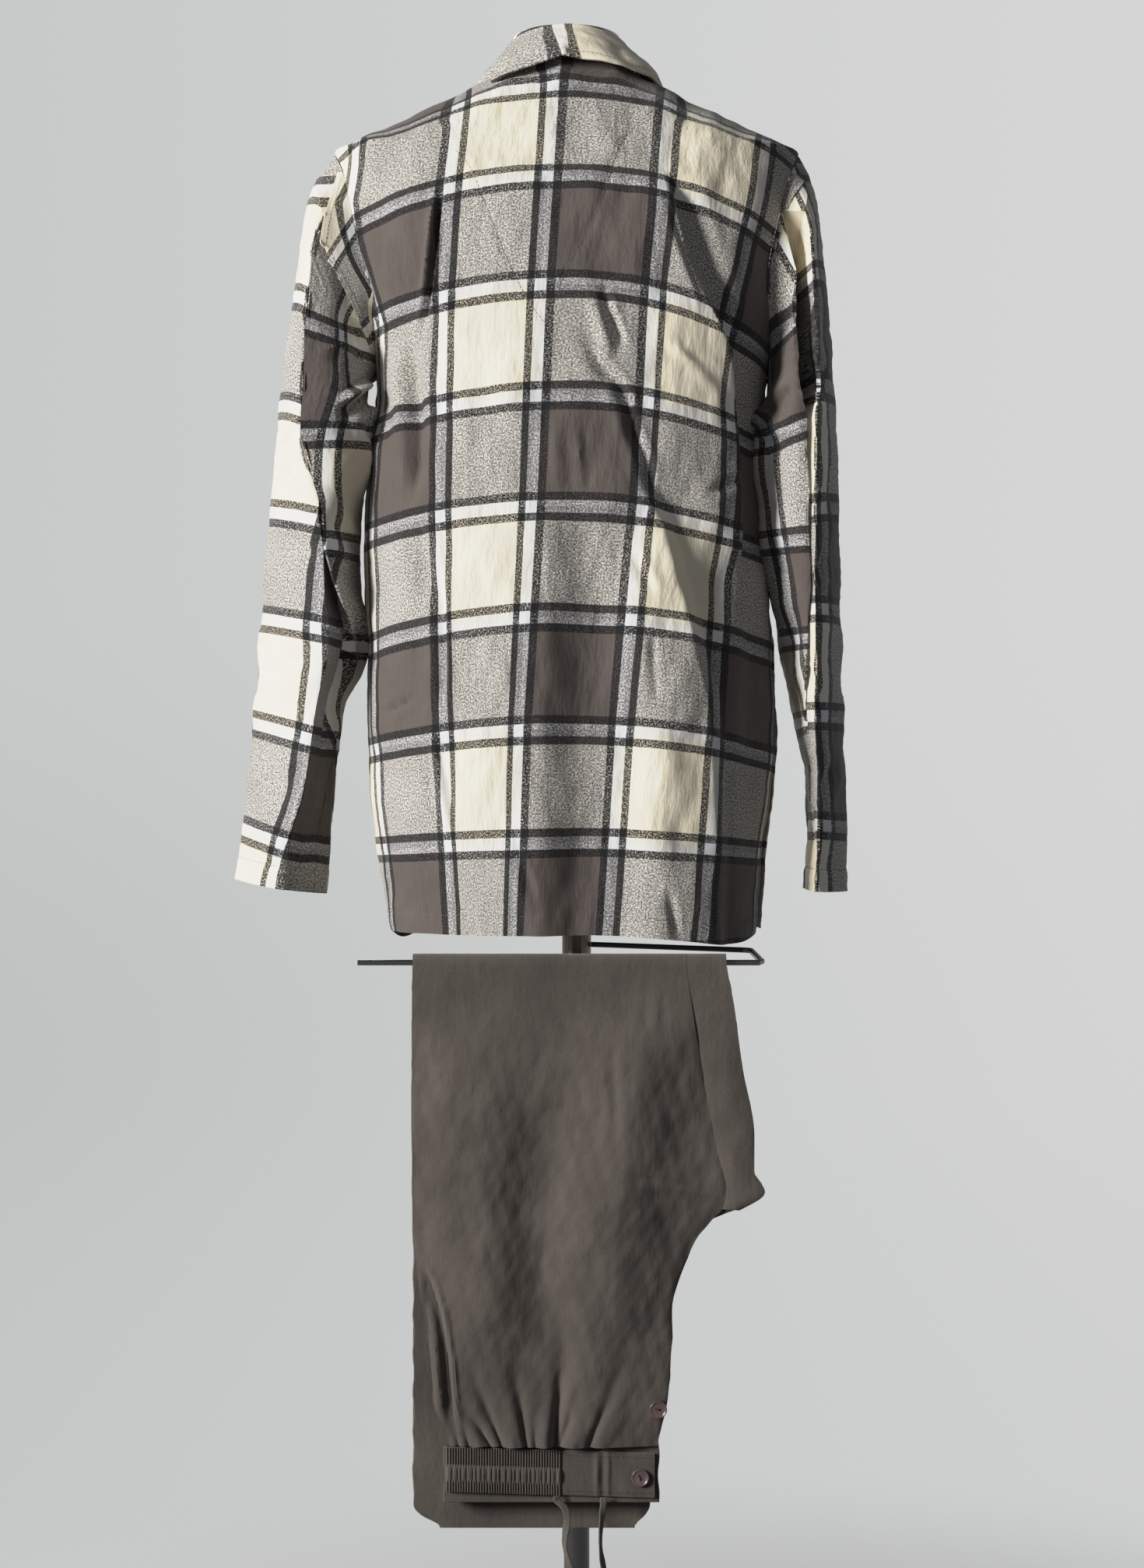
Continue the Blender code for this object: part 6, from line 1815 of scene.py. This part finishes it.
def build_leg_front():
    along = drape_stations(LEG_WAIST_Z, HEM_FAR_Z, NEAR_ROWS, FAR_ROWS)[:, None]
    share = np.linspace(0, 1, LEG_COLUMNS + 1)[None, :]
    left = side_at(along, "left")
    x = left + (side_at(along, "seam") - SEAM_GAP - left) * share
    z = np.broadcast_to(drape_height(along), x.shape)
    away = looseness(along)
    room = LEG_FULLNESS * away * np.sin(math.pi * share) ** 0.6
    inward = relief(TROUSER_CREASES, x, z) + ledge_relief(TROUSER_LEDGES, x, z)
    inward = inward + np.where(along < 0, gather_relief(x, z), 0.0) + unevenness(x, z, LEG_WAVES, 31)
    base = hidden_thickness(along) + SEAM_GAP + TROUSER_CLOTH
    height = base + np.maximum(0.0, room - inward * away)
    far_hem = np.where(along > 0, z - HEM_FAR_Z, 1.0)
    height = height + LEG_HEM_RAISE * smooth_step((LEG_HEM_BAND - far_hem) / 0.001)
    grid = drape(x, along, height)
    dress_panel("trousers_leg_front_cloth", "trousers_leg_front", grid, x, along)
    return grid


def build_leg_back():
    """The strip of the near leg's back panel that shows past the inseam."""
    along = drape_stations(STRIP_END_Z, HEM_FAR_Z, STRIP_ROWS, FAR_ROWS)[:, None]
    share = np.linspace(0, 1, STRIP_COLUMNS + 1)[None, :]
    seam = side_at(along, "seam")
    x = seam + (side_at(along, "right") - seam) * share
    z = np.broadcast_to(drape_height(along), x.shape)
    swell = STRIP_FULLNESS * np.sin(math.pi * share) ** 0.8 * looseness(along)
    wave = STRIP_WAVE * ripple(x, z, 0.03, 33) * np.sin(math.pi * share) * looseness(along)
    height = hidden_thickness(along) + SEAM_GAP + TROUSER_CLOTH + swell + wave
    dress_panel("trousers_leg_back_cloth", "trousers_leg_back", drape(x, along, height), x, along)


def build_hidden_layers():
    """The layers inside the folded trousers, one body that is grooved round its edges."""
    along = drape_stations(INNER_WAIST_Z, HEM_FAR_Z, LAYER_ROWS, FAR_ROWS)
    left = side_at(along, "left")
    right = side_at(along, "right")
    thick = hidden_thickness(along)
    last_row = len(along) - 1
    across = np.linspace(-1, 1, LAYER_COLUMNS + 1)

    def place(spot, level):
        """A place on the layers' rim or faces. Level is 0 inside the fold and 1 outside it."""
        r, c = spot
        puff = LAYER_PUFF * abs(math.sin(math.pi * LAYERS * level)) ** 0.7
        wave = LAYER_WAVE * math.sin(along[r] * 190) * (abs(across[c]) > 0.99)
        half = (right[r] - left[r]) / 2 - HIDDEN_TUCK + 0.0012
        x = (left[r] + right[r]) / 2 + across[c] * half + (puff + wave) * ((c == LAYER_COLUMNS) - (c == 0))
        way = along[r] + puff * ((r == last_row) - (r == 0))
        return drape(np.array(x), np.array(way), np.array(SEAM_GAP + (thick[r] - SEAM_GAP) * level))

    spots = [(r, c) for r in range(last_row + 1) for c in range(LAYER_COLUMNS + 1)]
    points = [place(spot, level) for level in (0, 1) for spot in spots]

    def number(spot, layer):
        return layer * len(spots) + spot[0] * (LAYER_COLUMNS + 1) + spot[1]

    faces = []
    for r in range(last_row):
        for c in range(LAYER_COLUMNS):
            corners = [(r, c), (r, c + 1), (r + 1, c + 1), (r + 1, c)]
            faces.append([number(spot, 0) for spot in corners])
            faces.append([number(spot, 1) for spot in reversed(corners)])
    border = [(0, c) for c in range(LAYER_COLUMNS + 1)]
    border += [(r, LAYER_COLUMNS) for r in range(1, last_row + 1)]
    border += [(last_row, c) for c in reversed(range(LAYER_COLUMNS))]
    border += [(r, 0) for r in reversed(range(1, last_row))]
    loops = [[number(spot, 0) for spot in border]]
    for level in np.linspace(0, 1, 8 * LAYERS + 1)[1:-1]:
        loops.append(range(len(points), len(points) + len(border)))
        points += [place(spot, level) for spot in border]
    loops.append([number(spot, 1) for spot in border])
    for low, high in zip(loops, loops[1:]):
        for k in range(len(border)):
            after = (k + 1) % len(border)
            faces.append([low[k], low[after], high[after], high[k]])
    made = make_mesh("trousers_inner_layers", points, faces)
    dress(made, JERSEY, "trouser_jersey", "trousers_hidden_layers")


def dress_panel(name, node, grid, x, v, thickness=TROUSER_CLOTH):
    """Makes a panel of the trousers from its outer face."""
    uv = np.stack(np.broadcast_arrays(x, v), -1) * CLOTH_UV
    dress(shell(name, grid, thickness, uv), JERSEY, "trouser_jersey", node)


def waist_seam(x):
    share = (x - ELASTIC_LEFT) / (WAISTBAND_RIGHT - ELASTIC_LEFT)
    return WAIST_SEAM_LEFT + (WAIST_SEAM_RIGHT - WAIST_SEAM_LEFT) * share


def build_waistband(name, left, right, columns, lift):
    x = np.linspace(left, right, columns + 1)[None, :]
    level = np.linspace(0, 1, BAND_ROWS + 1)[:, None]
    z = waist_seam(x) - level * WAISTBAND_HEIGHT
    along = along_at(z, True)
    height = hidden_thickness(along) + 2 * SEAM_GAP + WAISTBAND_THICKNESS + lift(x, level)
    grid = drape(x, along, height)
    dress_panel(name + "_cloth", name, grid, x, z, WAISTBAND_THICKNESS * 0.8)
    return grid


def shirring(x, level):
    """Narrow ribs along both sewn rows, and fewer, fuller puffs between them."""
    share = (x - ELASTIC_LEFT) / (ELASTIC_RIGHT - ELASTIC_LEFT)
    uneven = 0.35 * np.sin(share * 41 + 1.0) + 0.25 * np.sin(share * 97)
    ribs = 0.5 + 0.5 * np.cos(2 * math.pi * ELASTIC_RIBS * share + uneven)
    puffs = np.abs(np.cos(math.pi * ELASTIC_RIBS / 1.9 * share + 1.4 * uneven)) ** 0.6
    middle = smooth_step((level - 0.34) / 0.10) * smooth_step((0.82 - level) / 0.10)
    crown = np.sin(math.pi * np.clip((level - 0.36) / 0.44, 0, 1))
    stitched = sum(bell(level - row, SHIRR_ROW_WIDTH) for row in SHIRR_ROWS)
    ends = smooth_step(share / 0.03) * smooth_step((1 - share) / 0.02)
    rise = RIB_RISE * ribs * (1 - middle) + middle * (PUFF_BASE + PUFF_RISE * crown * puffs)
    return (rise - SHIRR_SINK * stitched) * ends - SHIRR_END_SINK * (1 - ends)


def plain_band(x, level):
    """A few folds across the band, its softened edges and its row of stitches."""
    folds = sum(fold.rise * bell(x - fold.x, fold.width) for fold in PLAIN_FOLDS)
    edge = 0.0005 * (bell(level, 0.06) + bell(1 - level, 0.06))
    stitch = 0.0004 * bell(level - 0.07, 0.02)
    uneven = 0.0003 * ripple(x, level * WAISTBAND_HEIGHT, 0.02, 41)
    return folds * (0.5 + 0.5 * np.sin(math.pi * level)) - edge - stitch + uneven


leg_front_grid = build_leg_front()
build_leg_back()
build_hidden_layers()
build_waistband("waistband_elastic", ELASTIC_LEFT, ELASTIC_RIGHT, RIB_COLUMNS * ELASTIC_RIBS, shirring)
PLAIN_LEFT = ELASTIC_RIGHT + SEAM_GAP
plain_grid = build_waistband("waistband_plain", PLAIN_LEFT, WAISTBAND_RIGHT, PLAIN_COLUMNS, plain_band)


def build_trouser_buttons():
    for name, spin in TROUSER_BUTTONS:
        box_low, box_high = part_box(name)
        centre = ((box_low[0] + box_high[0]) / 2, box_high[1], (box_low[2] + box_high[2]) / 2)
        place_button(name, centre, (0.0, -1.0, 0.0), spin)


build_trouser_buttons()
finish_metal()


# ---------------------------------------------------------------- sewing

SHOULDER_STITCH = 0.0055    # from the seam to the line of stitches beside it
ARMHOLE_STITCH = 0.0060
INSEAM_STITCH = 0.0020
STITCH = 0.0026
STITCH_GAP = 0.0013
STITCH_RADIUS = 0.00026
FLY_LINE = table(":", """
    80 462  66 445  60 400  52 362
""")[0].line


def add_stitches(points, faces, route):
    """Adds a line of stitches that lie on the cloth along a route."""
    route = np.asarray(route)
    lengths = way_along(route)
    for start in np.arange(STITCH_GAP, lengths[-1] - STITCH, STITCH + STITCH_GAP):
        at = start + STITCH * np.array((0.0, 0.15, 0.85, 1.0))
        bead = np.stack([np.interp(at, lengths, route[:, axis]) for axis in range(3)], -1)
        along = unit(bead[-1] - bead[0])
        hint = np.array((0.0, 0.0, 1.0)) if abs(along[2]) < 0.8 else np.array((1.0, 0.0, 0.0))
        side = unit(np.cross(along, hint))
        radii = STITCH_RADIUS * np.array((0.45, 1.0, 1.0, 0.45))
        add_rings(points, faces, bead, [side] * 4, [np.cross(along, side)] * 4, radii)


def edge_route(grid, distance, columns=slice(None)):
    """A line on a grid's outer face, at a distance from its lowest row."""
    rows = grid[::-1, columns]
    down = way_along(rows)
    route = np.zeros((rows.shape[1], 3))
    for column in range(rows.shape[1]):
        for axis in range(3):
            route[column, axis] = np.interp(distance, down[:, column], rows[:, column, axis])
    return route


def side_route(grid, distance, right, rows=slice(None)):
    """A line on a grid's outer face, at a distance from its left or right side."""
    lines = grid[rows, ::-1] if right else grid[rows]
    return edge_route(np.swapaxes(lines, 0, 1)[::-1], distance)


def spot_route(surface, line, steps=40):
    """A line on the back of a surface through places in x and z."""
    places = smooth_route([(x, 0.0, z) for x, z in line], steps)
    depth = surface_depth(surface, places[:, 0], places[:, 2])
    return np.stack([places[:, 0], depth - 0.0001, places[:, 2]], -1)


def build_sewing():
    near = slice(0, NEAR_ROWS)
    shirt = [edge_route(grid, HEM_BAND) for grid in (back_grid, front_left_grid, front_right_grid)]
    for grid in (sleeve_left_grid, sleeve_right_grid):
        shirt.append(edge_route(np.concatenate([grid, grid[:, :1]], axis=1), CUFF_BAND))
    shirt += [spot_route(back_grid, line, 12) for line in (SEAM_LEFT, SEAM_RIGHT)]
    shirt += [
        side_route(left_shoulder_grid, SHOULDER_STITCH, False, slice(2, -2)),
        side_route(right_shoulder_grid, SHOULDER_STITCH, True, slice(2, -2)),
        side_route(front_left_grid, ARMHOLE_STITCH, False, ARMHOLE),
        side_route(front_left_grid, PLACKET_STITCH, False),
        edge_route(collar_grid, COLLAR_STITCH),
    ]
    trousers = [
        side_route(leg_front_grid, INSEAM_STITCH, True, near),
        spot_route(leg_front_grid[near], FLY_LINE, 10),
        edge_route(leg_front_grid, LEG_HEM_BAND),
    ]
    trousers += [plain_grid[level, 2:-2] - np.array((0.0, 0.0001, 0.0)) for level in (3, 27)]
    for name, routes, thread, slot in (
        ("shirt_stitching", shirt, THREAD_TAUPE, "shirt_flannel"),
        ("trouser_stitching", trousers, THREAD_JERSEY, "trouser_jersey"),
    ):
        points = []
        faces = []
        for route in routes:
            add_stitches(points, faces, route)
        dress(make_mesh(name, points, faces, sharp_angle=60), thread, slot)


build_sewing()


# ---------------------------------------------------------------- studio

STUDIO_FLOOR = 5.2          # the floor's radius
STUDIO_BEND = 1.6
STUDIO_TOP = 9.0
STUDIO_DROP = 0.0005
STUDIO_SIDES = 96
STUDIO_PAINTED_LIGHT_SPAN = 3.2       # how far to each side the painted light of the room's emission changes
STUDIO_PAINTED_LIGHT_FROM = 0.5      # near the pole the floor takes the lamps' light and shadows, and farther out it gives way to emission that is painted light
STUDIO_PAINTED_LIGHT_FULL = 1.3
SKY = (0.92, 0.95, 1.0, 1.0)
SKY_STRENGTH = 0.13
STUDIO_GREY = (0.60, 0.605, 0.61, 1.0)
STUDIO_FLOOR_PAINTED_LIGHT = ((0.520, 0.530, 0.535, 1.0), (0.690, 0.695, 0.690, 1.0))     # painted light on the floor, from darker at the left to lighter at the right
# Painted light on the wall, from darker at the left to lighter at the right, and lighter than on the floor.
STUDIO_WALL_PAINTED_LIGHT = ((0.575, 0.585, 0.590, 1.0), (0.700, 0.705, 0.700, 1.0))


def build_studio():
    """A pale round room whose floor curves up into its wall, and whose paper gives off painted light away
    from the pole.
    """
    profile = [(STUDIO_FLOOR, 0.0)]
    for turn in np.linspace(0, math.pi / 2, 14)[1:]:
        profile.append((STUDIO_FLOOR + STUDIO_BEND * math.sin(turn), STUDIO_BEND * (1 - math.cos(turn))))
    profile.append((STUDIO_FLOOR + STUDIO_BEND, STUDIO_TOP))
    sides = STUDIO_SIDES
    points = [(0.0, 0.0, -STUDIO_DROP)]
    for radius, height in profile:
        for turn in np.arange(sides) * 2 * math.pi / sides:
            points.append((radius * math.cos(turn), radius * math.sin(turn), height - STUDIO_DROP))
    faces = []
    for k in range(sides):
        after = (k + 1) % sides
        faces.append((0, 1 + k, 1 + after))
        for low in range(1, 1 + (len(profile) - 1) * sides, sides):
            faces.append((low + k, low + sides + k, low + sides + after, low + after))
    room = make_mesh("studio_room", points, faces)
    shading = Shading("studio_paper_painted_light")
    x, y, z = shading.split(shading.node("ShaderNodeTexCoord").outputs["Object"])
    squares = [shading.math("MULTIPLY", axis, axis) for axis in (x, y)]
    away = shading.math("SQRT", shading.math("ADD", *squares))
    shading.set(base_color=STUDIO_GREY, roughness=0.9)
    # Painted light: away from the pole the room gives off light of its own, with painted tones in place of
    # the light that would fall on it.
    painted_light_emission = shading.node("ShaderNodeEmission")
    painted_light_emission.inputs["Strength"].default_value = 1.0
    # Painted light: darker at the left and lighter at the right, and darker on the floor than on the wall.
    across = shading.ramp(x, -STUDIO_PAINTED_LIGHT_SPAN, STUDIO_PAINTED_LIGHT_SPAN)
    floor, paper = (shading.mix(across, *tones) for tones in (STUDIO_FLOOR_PAINTED_LIGHT, STUDIO_WALL_PAINTED_LIGHT))
    shading.put(painted_light_emission.inputs["Color"], shading.mix(shading.ramp(z, 0.0, STUDIO_BEND), floor, paper))
    blend = shading.node("ShaderNodeMixShader")
    share = shading.ramp(away, STUDIO_PAINTED_LIGHT_FROM, STUDIO_PAINTED_LIGHT_FULL)
    shaded_and_painted = shading.feed(blend, {0: share, 1: shading.shader.outputs[0], 2: painted_light_emission.outputs[0]})[0]
    shading.put(shading.tree.nodes["Material Output"].inputs["Surface"], shaded_and_painted)
    room.data.materials.append(shading.material)
    room.visible_diffuse = False


def area_light(name, place, aim, size, power, colour=(1.0, 1.0, 1.0)):
    data = bpy.data.lights.new(name, "AREA")
    data.shape = "RECTANGLE"
    data.size, data.size_y = size
    data.energy = power
    data.color = colour
    made = bpy.data.objects.new(name, data)
    made.location = place
    made.rotation_mode = "QUATERNION"
    made.rotation_quaternion = (Vector(aim) - Vector(place)).to_track_quat("-Z", "Y")
    bpy.context.scene.collection.objects.link(made)


def build_world():
    world = bpy.data.worlds.new("studio")
    world.use_nodes = True
    sky = world.node_tree.nodes["Background"]
    sky.inputs[0].default_value = SKY
    sky.inputs[1].default_value = SKY_STRENGTH
    bpy.context.scene.world = world


# The brightness shown for that of the scene.
TONE_WHITE = 3.0
TONE = ((0.0, 0.0), (0.25, 0.25), (0.50, 0.49), (0.80, 0.73), (1.20, 0.85), (2.0, 0.92), (3.0, 0.96))


def set_tone():
    """A photograph's tone: straight in the darks, and bent over in the lights."""
    view = bpy.context.scene.view_settings
    view.view_transform = "Standard"
    view.use_curve_mapping = True
    mapping = view.curve_mapping
    mapping.use_clip = False
    mapping.white_level = (TONE_WHITE, TONE_WHITE, TONE_WHITE)
    curve = mapping.curves[3]
    for light, shown in TONE[1:-1]:
        curve.points.new(light / TONE_WHITE, shown)
    curve.points[0].location = (0.0, 0.0)
    curve.points[-1].location = (1.0, TONE[-1][1])
    mapping.update()


build_studio()
build_world()
set_tone()
area_light("key", (-3.95, -2.75, 2.1), (0.0, -0.05, 1.0), (1.1, 1.4), 370.0, (1.0, 0.98, 0.95))
area_light("front_fill", (-1.0, 3.4, 2.2), (0.0, 0.0, 1.0), (1.5, 1.5), 60.0)
